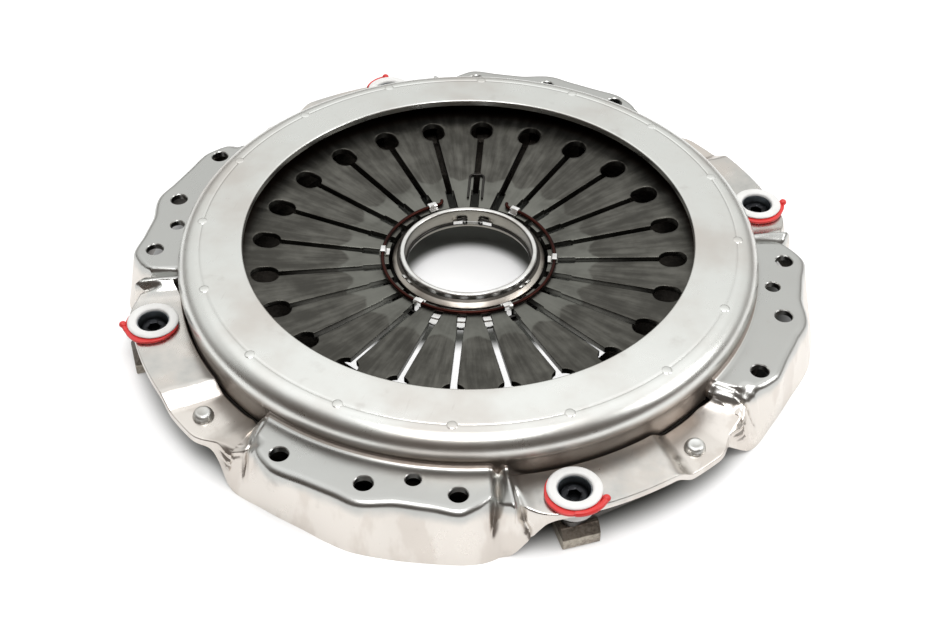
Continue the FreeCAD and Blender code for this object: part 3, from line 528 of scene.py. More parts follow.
@dataclass(frozen=True)
class PressedSteel:
    """Bare pressed sheet: pale, satin, with rolling grain, handling marks and faint stains.

    The lands and bridges beyond grey_r are greyer, the skirts below a set height carry a painted warm
    reflection, and the lower band of the wall, between two radii and below a set height, carries painted
    brown shade and dark reflection.
    """

    name: str = "pressed_steel"
    pale: Colour = (0.70, 0.71, 0.685)
    warm: Colour = (0.60, 0.575, 0.54)
    stain: Colour = (0.40, 0.37, 0.34)
    # Painted warm reflection colour for the skirts.
    skirt_reflection: Colour = (0.74, 0.695, 0.645)
    # Painted brown shade and dark reflection colour for the drum's lower wall.
    wall_shade: Colour = (0.23, 0.185, 0.155)
    roughness: float = 0.27
    grey: Colour = (0.465, 0.47, 0.455)
    blotch: Colour = (0.54, 0.485, 0.435)
    # Height below which the skirts carry the painted warm reflection; its fade and wave follow further down.
    skirt_reflection_z: float = 0.036
    grey_r: float = 0.2048
    # Radii, top height and fade of the painted shade on the drum's lower wall.
    wall_shade_r: tuple[float, float] = (0.1995, 0.2052)
    wall_shade_z: float = 0.0535
    wall_shade_rise: float = 0.006
    skirt_reflection_fade: float = 0.008
    skirt_reflection_wave: float = 0.012
    grey_share: float = 0.9
    skirt_reflection_share: float = 0.85
    blotch_share: float = 0.42
    patch_share: float = 0.40
    mark_share: float = 0.25
    speck_share: float = 0.55

    def build(self) -> bpy.types.Material:
        """Node material of the finish."""
        s = Shader(self.name, metallic=1.0)
        r, z = s.radius(), s.height()
        cloud = s.noise(scale=14.0, detail=4.0)
        patch = s.noise(scale=46.0, detail=5.0)
        grain = s.noise(scale=900.0, detail=2.0, stretch=(1.0, 0.25, 1.0))
        marks = s.noise(scale=260.0, detail=6.0, stretch=(1.0, 0.12, 0.6))
        specks = s.noise(scale=420.0, detail=3.0)
        streak = s.noise(scale=38.0, detail=4.0, stretch=(1.0, 1.0, 0.4))
        low = s.between(z + (patch - 0.5) * self.skirt_reflection_wave, self.skirt_reflection_z, self.skirt_reflection_z - self.skirt_reflection_fade)
        colour = s.mix(s.between(cloud, 0.42, 0.72), self.pale, self.warm)
        colour = s.mix(s.between(r, self.grey_r, self.grey_r + 0.0012) * self.grey_share, colour, self.grey)
        # Painted warm reflection on the skirts below a set height.
        colour = s.mix(low * self.skirt_reflection_share, colour, self.skirt_reflection)
        colour = s.mix(low * s.between(streak, 0.46, 0.56) * self.blotch_share, colour, self.blotch)
        # Painted brown shade and dark reflection on the drum's lower wall, above the land.
        wall = (s.between(r, self.wall_shade_r[0], self.wall_shade_r[0] + 0.001)
                * s.between(r, self.wall_shade_r[1], self.wall_shade_r[1] - 0.0006)
                * s.between(z, self.wall_shade_z, self.wall_shade_z - self.wall_shade_rise))
        colour = s.mix(wall * (0.55 + cloud * 0.5), colour, self.wall_shade)
        colour = s.mix(s.between(patch, 0.60, 0.80) * self.patch_share, colour, self.stain)
        colour = s.mix(s.between(marks, 0.66, 0.76) * self.mark_share, colour, self.stain)
        colour = s.mix(s.between(specks, 0.74, 0.80) * self.speck_share, colour, self.stain)
        s.feed("Base Color", colour)
        s.feed("Roughness", self.roughness + (cloud + patch) * 0.10 - 0.10 + grain * 0.04 + wall * 0.18)
        first = s.bump(s.noise(scale=34.0, detail=3.0), distance=0.0005, strength=0.3)
        s.feed("Normal", s.bump(grain, distance=0.00003, strength=0.35, under=first))
        return s.material


@dataclass(frozen=True)
class SpringSteel:
    """Dark spring steel: oiled, streaked outwards, brown at the belt and paler at the hardened tips."""

    name: str = "spring_steel"
    dark: Colour = (0.060, 0.058, 0.051)
    light: Colour = (0.140, 0.137, 0.122)
    tip: Colour = (0.185, 0.188, 0.168)
    brown: Colour = (0.055, 0.028, 0.018)
    tip_r: float = 0.086
    tip_edge: float = 0.0016
    tip_wave: float = 0.008
    scallop: float = 0.010
    belt_r: float = 0.163
    belt_share: float = 0.85

    def build(self) -> bpy.types.Material:
        """Node material of the finish; the pale tips end in an arc on each finger."""
        s = Shader(self.name, metallic=1.0)
        r, angle = s.polar()
        smear = s.noise(scale=26.0, detail=4.0)
        mottle = s.noise(scale=75.0, detail=5.0)
        rays = s.noise(scale=3.2, detail=5.0, vector=s.join(angle * 9.0, r * 9.0, 0.0))
        mixed = smear * 0.35 + mottle * 0.25 + rays * 0.40
        colour = s.mix(s.between(mixed, 0.40, 0.66), self.dark, self.light)
        slots = LAYOUT.fingers / (2.0 * math.pi)
        share = s.node("ShaderNodeMath", {"operation": "FRACT"},
                       {0: angle * slots - (math.radians(LAYOUT.slot_direction) * slots - 8.0)})
        off = share - 0.5
        edge = self.tip_r + off * off * (4.0 * self.scallop) + (mottle - 0.5) * self.tip_wave
        inside = s.between(r - edge, self.tip_edge, -self.tip_edge)
        colour = s.mix(inside * s.between(smear, 0.30, 0.65, 0.15, 0.75), colour, self.tip)
        belt = s.between(r, self.belt_r - 0.006, self.belt_r + 0.004)
        colour = s.mix(belt * self.belt_share, colour, self.brown)
        s.feed("Base Color", colour)
        s.feed("Roughness", 0.27 + mottle * 0.16 + rays * 0.14 - inside * 0.04)
        s.feed("Normal", s.bump(s.noise(scale=1300.0, detail=2.0), distance=0.00004, strength=0.5))
        return s.material


@dataclass(frozen=True)
class CastIron:
    """Cast and turned iron: nearly black inside (painted shade), grey-brown on the lugs, painted lighter on
    their lower faces.
    """

    name: str = "cast_iron"
    # Inside colours, darkened as painted shade under the cover.
    dark: Colour = (0.030, 0.026, 0.022)
    light: Colour = (0.075, 0.066, 0.056)
    lug_dark: Colour = (0.075, 0.062, 0.050)
    lug_light: Colour = (0.20, 0.175, 0.145)
    # Painted lighter tone for the lugs' upright lower faces.
    lit_lug_face: Colour = (0.52, 0.48, 0.41)
    lug_r: float = 0.212
    lit_face_z: float = 0.0092
    ring_pitch: float = 9000.0

    def build(self) -> bpy.types.Material:
        """Node material of the finish."""
        s = Shader(self.name, metallic=0.85)
        r = s.radius()
        grain = s.noise(scale=420.0, detail=5.0)
        cloud = s.noise(scale=30.0, detail=4.0)
        mixed = s.between(cloud * 0.6 + grain * 0.4, 0.38, 0.66)
        inner = s.mix(mixed, self.dark, self.light)
        outer = s.mix(mixed, self.lug_dark, self.lug_light)
        face = s.mix(mixed, self.lug_light, self.lit_lug_face)
        # Painted light: the lugs are lighter below a set height.
        outer = s.mix(s.between(s.height(), self.lit_face_z, self.lit_face_z - 0.0006), outer, face)
        # Nearly black inside the lugs' radius: painted shade under the cover.
        s.feed("Base Color", s.mix(s.between(r, self.lug_r, self.lug_r + 0.006), inner, outer))
        s.feed("Roughness", 0.42 + cloud * 0.22)
        rings = s.node("ShaderNodeMath", {"operation": "SINE"}, {0: r * self.ring_pitch})
        first = s.bump(grain, distance=0.0002, strength=0.5)
        s.feed("Normal", s.bump(rings, distance=0.00002, strength=0.3, under=first))
        return s.material


@dataclass(frozen=True)
class TurnedSteel:
    """Turned or drawn steel with fine rings round the clutch's axis.

    Where the band's inner radius is set, the steel keeps its own tone between the two band radii, takes a
    painted shade tone to either side of them, and turns to a deep painted shade colour just outside the
    larger one.
    """

    name: str
    base: Colour
    shadow: Colour
    roughness: float = 0.22
    ring_pitch: float = 5200.0
    unshaded_from: float = 0.0
    unshaded_to: float = 1.0
    # Painted shade colours: the first to either side of the band, the deep one just outside it.
    shaded_tone: Colour = (0.30, 0.28, 0.24)
    deep: Colour = (0.012, 0.011, 0.010)

    def build(self) -> bpy.types.Material:
        """Node material of the finish."""
        s = Shader(self.name, metallic=1.0)
        cloud = s.noise(scale=60.0, detail=4.0)
        spots = s.noise(scale=500.0, detail=3.0)
        colour = s.mix(s.between(cloud, 0.40, 0.75), self.base, self.shadow)
        if self.unshaded_from > 0.0:
            r = s.radius()
            # Painted shade to either side of the band, then deep painted shade outside it.
            shaded_tone = 1.0 - (s.between(r, self.unshaded_from - 0.0002, self.unshaded_from + 0.0002)
                          * s.between(r, self.unshaded_to + 0.0004, self.unshaded_to))
            colour = s.mix(shaded_tone * 0.92, colour, self.shaded_tone)
            colour = s.mix(s.between(r, self.unshaded_to + 0.001, self.unshaded_to + 0.0025), colour, self.deep)
        s.feed("Base Color", s.mix(s.between(spots, 0.66, 0.78) * 0.35, colour, self.shadow))
        s.feed("Roughness", self.roughness + cloud * 0.12)
        rings = s.node("ShaderNodeMath", {"operation": "SINE"}, {0: s.radius() * self.ring_pitch})
        s.feed("Normal", s.bump(rings, distance=0.00002, strength=0.25))
        return s.material


@dataclass(frozen=True)
class MouldedPlastic:
    """Injection-moulded plastic with a fine skin and slight scuffs."""

    name: str
    base: Colour
    scuff: Colour
    roughness: float
    specular: float = 0.5

    def build(self) -> bpy.types.Material:
        """Node material of the finish."""
        s = Shader(self.name, metallic=0.0, specular_ior_level=self.specular)
        cloud = s.noise(scale=90.0, detail=4.0)
        scratch = s.noise(scale=700.0, detail=4.0, stretch=(1.0, 0.2, 1.0))
        colour = s.mix(s.between(cloud, 0.45, 0.80) * 0.5, self.base, self.scuff)
        s.feed("Base Color", s.mix(s.between(scratch, 0.64, 0.74) * 0.3, colour, self.scuff))
        s.feed("Roughness", self.roughness + cloud * 0.12)
        s.feed("Normal", s.bump(s.noise(scale=1600.0, detail=2.0), distance=0.00003, strength=0.4))
        return s.material


class Finishes:
    """Every finish of the assembly, made once."""

    def __init__(self) -> None:
        """Builds the node materials."""
        self.cover = PressedSteel().build()
        self.spring = SpringSteel().build()
        self.iron = CastIron().build()
        # The sleeve's band leaves painted shade in its bore and on its flange; the washer's leaves painted
        # shade in its inner channel.
        self.sleeve = TurnedSteel("turned_sleeve_steel", (0.74, 0.74, 0.72), (0.52, 0.50, 0.47), 0.24,
                                  unshaded_from=0.0455, unshaded_to=0.0494, shaded_tone=(0.25, 0.235, 0.20)).build()
        self.washer = TurnedSteel("oiled_washer_steel", (0.46, 0.43, 0.385), (0.24, 0.20, 0.17), 0.26,
                                  unshaded_from=0.0513, unshaded_to=0.0560, shaded_tone=(0.030, 0.027, 0.024)).build()
        turned, moulded = self._turned, self._moulded
        self.bright = turned("bright_strip_steel", (0.80, 0.80, 0.79), (0.60, 0.59, 0.57), 0.18)
        self.wire = turned("drawn_wire_steel", (0.050, 0.047, 0.044), (0.022, 0.020, 0.019), 0.28)
        self.rivet = turned("headed_rivet_steel", (0.74, 0.75, 0.73), (0.52, 0.51, 0.48), 0.34)
        self.copper = turned("coppered_wire", (0.042, 0.012, 0.009), (0.018, 0.007, 0.006), 0.26)
        self.black = turned("black_bolt_steel", (0.030, 0.031, 0.034), (0.015, 0.015, 0.016), 0.26)
        self.leaf = turned("blued_leaf_steel", (0.10, 0.095, 0.09), (0.05, 0.045, 0.04), 0.32)
        self.white = moulded("white_moulding", (0.80, 0.80, 0.785), (0.66, 0.65, 0.62), 0.34)
        self.red = moulded("red_moulding", (0.70, 0.036, 0.034), (0.52, 0.03, 0.03), 0.28)
        self.lining = turned("dark_bore_lining", (0.24, 0.265, 0.285), (0.12, 0.135, 0.15), 0.30)

    @staticmethod
    def _turned(name: str, base: Colour, shadow: Colour, roughness: float) -> bpy.types.Material:
        """Plain turned or drawn steel."""
        return TurnedSteel(name, base, shadow, roughness).build()

    @staticmethod
    def _moulded(name: str, base: Colour, scuff: Colour, roughness: float) -> bpy.types.Material:
        """Plain moulded plastic."""
        return MouldedPlastic(name, base, scuff, roughness).build()

    def by_slot(self) -> dict[str, bpy.types.Material]:
        """Finish of each record slot."""
        return {
            Slot.COVER.value: self.cover, Slot.WIRE.value: self.wire, Slot.RIVET.value: self.rivet,
            Slot.SPRING.value: self.spring, Slot.PLATE.value: self.iron, Slot.BOLT.value: self.black,
            Slot.SLEEVE.value: self.sleeve, Slot.BRIGHT.value: self.bright, Slot.COPPER.value: self.copper,
            Slot.LEAF.value: self.leaf, Slot.WHITE.value: self.white, Slot.RED.value: self.red,
        }


@dataclass
class CoverDrum:
    """Top land, rounded shoulder and wall of the cover, with its pips.

    window: the turns between which the wall reaches down to window_low_z beside a strap. ribs: (turn, height,
    rise) of the small bulges in each quarter of the wall.
    """

    step: float = 0.75
    lip_round: float = 1.3
    seam_depth: float = 0.55
    pip_r: float = 3.7
    pip_rise: float = 0.55
    pip_set: float = 0.3
    rib_width: float = 1.1
    rib_reach: float = 4.0
    window: tuple[float, float] = (36.0, 83.6)
    window_low_z: float = 24.5
    window_inner_r: float = 197.4
    ribs: tuple[tuple[float, float, float], ...] = ((-8.1, 43.5, 0.9), (38.1, 43.0, 0.7))

    def profile(self) -> Profile:
        """Closed section: lip, coned land, seam, shoulder arc, wall, lower edge and the inside."""
        lay = LAYOUT
        bend_c = (lay.drum_r - lay.bend_r, lay.seam_z - 0.3 - lay.bend_r)
        lip_c = (lay.opening_r + self.lip_round, lay.height - self.lip_round)
        lip = arc_points(lip_c, self.lip_round, 180, 92, 6)
        land = fine([(lay.opening_r + self.lip_round, lay.height), (lay.seam_r - 2.0, lay.seam_z)], 4.0)
        seam = [(lay.seam_r - 1.0, lay.seam_z - 0.05), (lay.seam_r, lay.seam_z - self.seam_depth),
                (lay.seam_r + 0.9, lay.seam_z - 0.24)]
        shoulder = arc_points(bend_c, lay.bend_r, 90, 0, 30)
        drop = bend_c[1] - (lay.land_z + lay.waist_rise)
        t = np.linspace(0, 1, 11)[1:]
        wall_r = lay.waist_r + (lay.drum_r - lay.waist_r) * np.cos(math.pi / 2 * t)
        wall = [(float(r), bend_c[1] - drop * float(s)) for r, s in zip(wall_r, t)]
        foot = [(lay.waist_r, lay.wall_low_z + 1.4), (lay.waist_r, lay.wall_low_z + 0.5),
                (lay.waist_r - 0.5, lay.wall_low_z)]
        inner_r = lay.drum_r - lay.sheet
        inner = [(inner_r, lay.wall_low_z), (inner_r, lay.wall_low_z + 2.2), (inner_r, bend_c[1])]
        inner += arc_points(bend_c, lay.bend_r - lay.sheet, 0, 90, 10)[1:]
        under = [(lay.opening_r + 0.5, lay.height - lay.sheet), (lay.opening_r, lay.height - lay.sheet + 0.5)]
        return lip + land + seam + shoulder + wall + foot + inner + under

    def turns(self) -> Array:
        """Turns of the sections of one quarter, closer at the ribs and at the ends of the window."""
        close = [np.arange(rib[0] % 90.0 - 1.2, rib[0] % 90.0 + 1.2, 0.15) for rib in self.ribs]
        close += [np.linspace(edge - 0.3, edge + 0.3, 4) for edge in self.window]
        turns = np.unique(np.round(np.concatenate([np.arange(0.0, 90.0, self.step)] + close), 3))
        return turns[np.concatenate([[True], np.diff(turns) > 0.05])]

    def wall(self) -> Surface:
        """Profile turned round the axis; beside each strap its lowest part is drawn down into an apron."""
        lay = LAYOUT
        turn = (self.turns()[None, :] + 90.0 * np.arange(lay.quarters)[:, None]).ravel()
        local = (turn % 90.0)[:, None]
        r, z = np.array(self.profile(), float).T
        inner = r <= lay.drum_r - lay.sheet + 0.01
        start, end = self.window
        inside = np.clip((local - start + 0.3) / 0.6, 0, 1) * np.clip((end + 0.3 - local) / 0.6, 0, 1)
        waist_z = lay.land_z + lay.waist_rise
        low = z < waist_z + 0.01
        longer = (waist_z - self.window_low_z) / (waist_z - lay.wall_low_z)
        new_z = np.where(low, waist_z - (waist_z - z) * (1 + (longer - 1) * inside), z)
        share = np.clip((waist_z - z) / (waist_z - lay.wall_low_z), 0, 1) * inside
        new_r = np.where(inner & low, r - (r - self.window_inner_r) * share, r)
        for at, height, rise in self.ribs:
            across = (local - at % 90.0) * math.radians(lay.drum_r)
            bulge = rise * bell(across, self.rib_width) * bell(z - height, self.rib_reach)
            new_r = new_r + np.where(inner, 0.0, bulge)
        a = np.radians(lay.direction(turn))[:, None]
        return Surface.grid(np.stack([new_r * np.cos(a), new_r * np.sin(a), new_z], -1),
                            wrap_rows=True, wrap_columns=True)

    def pip(self) -> Surface:
        """Shallow round pip: a lens that stands a little proud of the seam."""
        r = self.pip_r
        top = [(0.0, self.pip_rise), (r * 0.62, self.pip_rise * 0.96), (r * 0.86, self.pip_rise * 0.62),
               (r, -0.1), (r, -1.5), (0.0, -1.5)]
        return Surface.lathe(top, 28)

    def build(self, finishes: Finishes) -> bpy.types.Object:
        """Makes the drum and hangs it on the cover."""
        lay = LAYOUT
        parts = [self.wall()]
        for i in range(lay.pips):
            a = math.radians(lay.pip_direction + 360.0 / lay.pips * i)
            r = lay.seam_r + self.pip_set
            at = np.array([r * math.cos(a), r * math.sin(a), lay.seam_z - self.pip_set])
            parts.append(self.pip().moved(at))
        mesh = Surface.joined(parts).mesh("cover_drum")
        return ride(add_piece("cover_drum", mesh, finishes.cover, Slot.COVER), Body.COVER.value, "cover")


@dataclass(frozen=True)
class Fold:
    """Crease or ridge in the pressing, from one (turn, depth along the section) point to another."""

    start: tuple[float, float]
    end: tuple[float, float]
    depth: float
    width: float


@dataclass(frozen=True)
class SheetRun:
    """Outer face of the flange's sheet at every turn of a quarter, one value for each turn.

    down_r and down_z point from the corner to the hem, and tilt is the angle of that way below the level.
    rooted tells where the sheet grows out of the wall. inner_edge is the radius of its inner edge elsewhere,
    and root_top its height at the root or at that edge.
    """

    turn: Array
    top: Array
    corner: Array
    hem_r: Array
    hem_z: Array
    bend: Array
    down_r: Array
    down_z: Array
    tilt: Array
    rooted: Array
    inner_edge: Array
    root_top: Array


@dataclass
class CoverFlange:
    """Bolt land with its skirt, strap bridge, ear and gussets between them, one quarter at a time.

    spans: runs of turns as (start, end, step). falls: (turn, drop of the sheet below the land). shears:
    (turn, degrees that a fall shifts for each millimetre outwards). stations: (turn, corner radius, hem
    radius, hem height, bend radius of the corner). folds: creases, whose turns are laid out as lengths at
    fold_r. A fold moves the skirt outwards by its full depth and the flat by fold_out of it, and lifts the
    flat by fold_up of it and the skirt by what is left after fold_up_loss.
    """

    spans: tuple[tuple[float, float, float], ...] = (
        (-17.0, -16.0, 0.5), (-16.0, -3.0, 0.18), (-3.0, 34.0, 0.5), (34.0, 45.5, 0.18), (45.5, 63.0, 0.7),
        (63.0, 70.0, 0.2), (70.0, 73.0, 0.5),
    )
    root_start: float = -8.6
    root_end: float = 38.4
    band_inner_r: float = 204.0
    root_r: float = 201.6
    shear_r: float = 223.0
    foot_width: float = 2.0
    root_line: float = 0.35
    root_line_at: float = 0.85
    root_line_width: float = 0.16
    edge_round: float = 0.9
    least_bend: float = 0.05
    fold_r: float = 235.0
    fold_out: float = 0.35
    fold_up: float = 0.8
    fold_up_loss: float = 0.75
    rows_root: int = 13
    rows_flat: int = 18
    rows_roll: int = 9
    rows_skirt: int = 24
    bolt_hole_r: float = 6.0
    bolt_step: float = 15.0
    dowel_hole_r: float = 5.0
    dowel_circle_r: float = 215.3
    dowel_turn: float = 22.5
    sleeve_hole_r: float = 14.5
    bridge_fall: float = 7.8
    hole_flare: float = 0.6
    hole_past: float = 2.0
    falls: tuple[tuple[float, float], ...] = (
        (-17.5, 15.5), (-14.6, 15.5), (-13.4, 15.2), (-11.5, 13.7), (-9.5, 11.8), (-7.8, 9.0), (-6.6, 5.4),
        (-5.6, 1.9), (-4.7, 0.0), (34.9, 0.0), (35.6, 0.9), (36.3, 3.8), (37.1, 2.4), (38.0, 1.5),
        (39.2, 3.4), (40.4, 6.0), (42.0, 7.5), (43.4, 7.8), (64.9, 7.8), (68.9, 15.5), (74.0, 15.5),
    )
    shears: tuple[tuple[float, float], ...] = (
        (-17.5, 0.0), (-13.4, 0.0), (-8.5, -0.12), (-5.0, -0.175), (-0.5, -0.15), (6.0, 0.0), (55.0, 0.0),
        (62.0, 0.053), (74.0, 0.053),
    )
    stations: tuple[tuple[float, float, float, float, float], ...] = (
        (-17.5, 240.4, 240.4, 19.3, 1.0),
        (-16.8, 240.4, 240.4, 19.3, 1.0),
        (-15.6, 239.6, 239.7, 19.3, 1.0),
        (-14.5, 237.8, 238.0, 19.2, 1.1),
        (-13.5, 235.6, 236.0, 18.4, 1.3),
        (-12.5, 233.6, 235.0, 15.4, 1.7),
        (-11.5, 232.4, 235.4, 11.6, 2.2),
        (-10.5, 232.0, 236.6, 8.0, 2.8),
        (-9.4, 231.6, 238.4, 4.4, 3.2),
        (-8.4, 230.9, 239.8, 1.8, 3.6),
        (-7.4, 230.0, 240.7, 0.4, 4.0),
        (-6.4, 229.2, 241.2, 0.0, 4.4),
        (-5.6, 228.8, 241.3, 0.0, 4.8),
        (-4.4, 229.6, 241.2, 0.0, 5.2),
        (-1.9, 234.6, 240.8, 0.0, 5.6),
        (1.2, 238.4, 241.2, 0.0, 5.6),
        (5.8, 237.4, 242.4, 0.0, 5.6),
        (10.6, 238.4, 245.8, 0.0, 5.6),
        (14.9, 241.4, 248.2, 0.0, 5.6),
        (21.3, 235.4, 247.8, 0.0, 5.6),
        (25.9, 236.4, 247.4, 0.0, 5.6),
        (30.2, 239.6, 247.6, 0.0, 5.6),
        (33.2, 233.6, 246.6, 0.0, 5.6),
        (34.5, 229.2, 245.2, 0.0, 5.0),
        (35.3, 227.2, 243.8, 0.0, 4.2),
        (36.2, 229.2, 242.2, 0.0, 3.8),
        (37.3, 231.8, 241.8, 0.0, 3.8),
        (38.4, 234.0, 242.0, 3.6, 3.6),
        (39.4, 232.8, 241.4, 7.8, 3.2),
        (40.4, 233.2, 240.6, 12.2, 2.8),
        (42.0, 236.4, 240.4, 20.6, 2.0),
        (43.2, 238.6, 240.3, 25.2, 1.4),
        (45.0, 240.4, 240.4, 27.0, 1.0),
        (66.2, 240.4, 240.4, 27.0, 1.0),
        (69.2, 240.4, 240.4, 19.3, 1.0),
        (74.0, 240.4, 240.4, 19.3, 1.0),
    )
    folds: tuple[Fold, ...] = (
        Fold((-7.2, 28.0), (-12.2, 29.5), 1.3, 1.5),
        Fold((-6.9, 33.0), (-12.0, 34.5), 1.3, 1.5),
        Fold((-6.6, 38.0), (-11.2, 39.0), 1.1, 1.5),
        Fold((-6.4, 24.0), (-5.6, 54.0), -2.8, 1.1),
        Fold((-4.9, 26.0), (-4.4, 50.0), 1.0, 2.0),
        Fold((-9.0, 2.0), (-6.4, 30.0), 1.4, 1.6),
        Fold((-7.6, 0.0), (-5.4, 26.0), -1.6, 1.4),
        Fold((36.9, 0.0), (35.0, 54.0), -4.6, 2.5),
        Fold((38.0, 0.0), (38.6, 42.0), 1.6, 2.8),
        Fold((39.0, 10.0), (40.1, 46.0), -4.2, 2.2),
        Fold((40.2, 38.0), (40.9, 52.0), -1.8, 1.4),
    )

    def turns(self) -> Array:
        """Turns of the sections, closer where the sheet is folded."""
        runs = [np.arange(a, b - 1e-6, step) for a, b, step in self.spans]
        ends = [root + side for root in (self.root_start, self.root_end) for side in (-0.03, 0.03)]
        return np.unique(np.concatenate(runs + [np.array([self.spans[-1][1]] + ends)]))

    def top_z(self, turn: Array, radius: Array) -> Array:
        """Height of the sheet: the falls read at a turn that is sheared by the distance out from the wall."""
        falls, shears = np.array(self.falls), np.array(self.shears)
        shear = smooth_through(turn, shears[:, 0], shears[:, 1])
        there = np.clip(turn + shear * (radius - self.shear_r), falls[0, 0], falls[-1, 0])
        return LAYOUT.land_z - smooth_through(there, falls[:, 0], falls[:, 1])

    def sheet_run(self) -> SheetRun:
        """The tables of falls and stations read at every turn."""
        lay = LAYOUT
        turn = self.turns()
        knots = np.array(self.stations, float)
        corner, hem_r, hem_z, bend = (smooth_through(turn, knots[:, 0], knots[:, i]) for i in range(1, 5))
        top = self.top_z(turn, corner)
        hem_z = np.minimum(hem_z, top - lay.sheet)
        run_r, run_z = hem_r - corner, hem_z - top
        length = np.hypot(run_r, run_z)
        down_r, down_z = run_r / length, run_z / length
        rooted = (turn > self.root_start) & (turn < self.root_end)
        near_root = np.minimum(np.abs(turn - self.root_start), np.abs(turn - self.root_end))
        foot_r = lay.waist_r + lay.fillet_run
        inner_edge = self.band_inner_r + (foot_r - self.band_inner_r) * bell(near_root, self.foot_width)
        root_top = self.top_z(turn, np.where(rooted, foot_r, inner_edge))
        return SheetRun(turn, top, corner, hem_r, hem_z, bend, down_r, down_z, np.arctan2(-down_z, down_r),
                        rooted, inner_edge, root_top)

    def shares(self) -> tuple[Array, Array, Array, Array]:
        """Places along the root, as an angle, and along the flat, roll and skirt, as shares."""
        counts = (self.rows_root, self.rows_flat, self.rows_roll, self.rows_skirt)
        root, flat, roll, skirt = (np.linspace(0, 1, count)[:, None] for count in counts)
        return root * math.pi / 2, flat[1:], roll[1:], skirt[1:]

    def outer_line(self, run: SheetRun) -> tuple[Array, Array]:
        """Radius and height of the outer face, places by turns: root, flat, rolled corner and skirt."""
        lay = LAYOUT
        t, u, w, v = self.shares()
        foot_r = lay.waist_r + lay.fillet_run
        land_r = np.where(t < 0.01, self.root_r, foot_r - lay.fillet_run * np.cos(t))
        line = self.root_line * bell(t - self.root_line_at, self.root_line_width)
        land_z = run.root_top + lay.waist_rise * (1 - np.sin(t)) + line
        root_r = np.where(run.rooted, land_r, run.inner_edge + self.edge_round * (1 - np.cos(t)))
        root_z = np.where(run.rooted, land_z, run.root_top - self.edge_round * (1 - np.sin(t)))
        flat_end = run.corner - run.bend * np.tan(run.tilt / 2)
        flat_r = root_r[-1] + (flat_end - root_r[-1]) * u
        ease = np.clip((1 - u) * 3, 0, 1)
        flat_top = self.top_z(np.broadcast_to(run.turn, flat_r.shape), flat_r)
        flat_z = run.top + (flat_top - run.top) * ease
        angle = math.pi / 2 - run.tilt * w
        roll_r = flat_end + run.bend * np.cos(angle)
        roll_z = run.top - run.bend + run.bend * np.sin(angle)
        skirt_r = roll_r[-1] + (run.hem_r - roll_r[-1]) * v
        skirt_z = roll_z[-1] + (run.hem_z - roll_z[-1]) * v
        return np.vstack([root_r, flat_r, roll_r, skirt_r]), np.vstack([root_z, flat_z, roll_z, skirt_z])

    def inner_line(self, run: SheetRun, flat_z: Array) -> tuple[Array, Array]:
        """Radius and height of the inner face, one sheet thickness inside the outer one.

        Args:
            run: The outer face.
            flat_z: Height of its flat, places by turns.

        Returns:
            Two arrays, places by turns, in the order of the outer line.
        """
        lay = LAYOUT
        t, u, w, v = self.shares()
        top = run.top - lay.sheet
        hem_r = run.hem_r + lay.sheet / run.down_z
        to_top = (top - run.hem_z) / run.down_z
        corner = hem_r + run.down_r * to_top
        bend = np.minimum(np.maximum(run.bend - lay.sheet, self.least_bend), 0.4 * np.abs(to_top) + 0.01)
        flat_end = corner - bend * np.tan(run.tilt / 2)
        angle = math.pi / 2 - run.tilt * w
        roll_r = flat_end + bend * np.cos(angle)
        roll_z = top - bend + bend * np.sin(angle)
        skirt_r = roll_r[-1] + (hem_r - roll_r[-1]) * v
        skirt_z = roll_z[-1] + (run.hem_z - roll_z[-1]) * v
        foot = np.where(run.rooted, lay.drum_r, run.inner_edge + self.edge_round)
        flat_r = foot + (flat_end - foot) * u
        wall = lay.drum_r - lay.sheet
        root_r = np.where(run.rooted, wall + lay.sheet * (1 - np.cos(t)),
                          run.inner_edge + self.edge_round * (1 - np.cos(t)))
        rise = np.where(run.rooted, lay.sheet, self.edge_round)
        root_z = run.root_top - lay.sheet + rise * (1 - np.sin(t))
        heights = [root_z, flat_z - lay.sheet, roll_z, skirt_z]
        return np.vstack([root_r, flat_r, roll_r, skirt_r]), np.vstack(heights)

    def lattice(self) -> Array:
        """Closed section at every turn: root, flat, rolled corner, skirt, hem and back along the inside.

        Returns:
            Points, turns by places round the section by 3. Each section is the sheet's outer line followed
            by its inner line one sheet thickness further in.
        """
        run = self.sheet_run()
        level = self.rows_root + self.rows_flat - 1
        outer_r, outer_z = self.outer_line(run)
        inner_r, inner_z = self.inner_line(run, outer_z[self.rows_root:level])
        r = np.vstack([outer_r, inner_r[::-1]]).T
        z = np.vstack([outer_z, inner_z[::-1]]).T
        shift = self.fold_shift(run.turn, outer_r.T, outer_z.T)
        shift = np.concatenate([shift, shift[:, ::-1]], axis=1)
        steep = np.concatenate([np.zeros(level), np.linspace(0, 1, self.rows_roll - 1),
                                np.ones(self.rows_skirt - 1)])
        steep = np.concatenate([steep, steep[::-1]])[None, :]
        r = r + shift * (self.fold_out + (1 - self.fold_out) * steep)
        z = z + shift * (1 - self.fold_up_loss * steep) * self.fold_up
        a = np.radians(LAYOUT.direction(0.0) + run.turn)[:, None]
        return np.stack([r * np.cos(a), r * np.sin(a), np.maximum(z, 0.0)], -1)

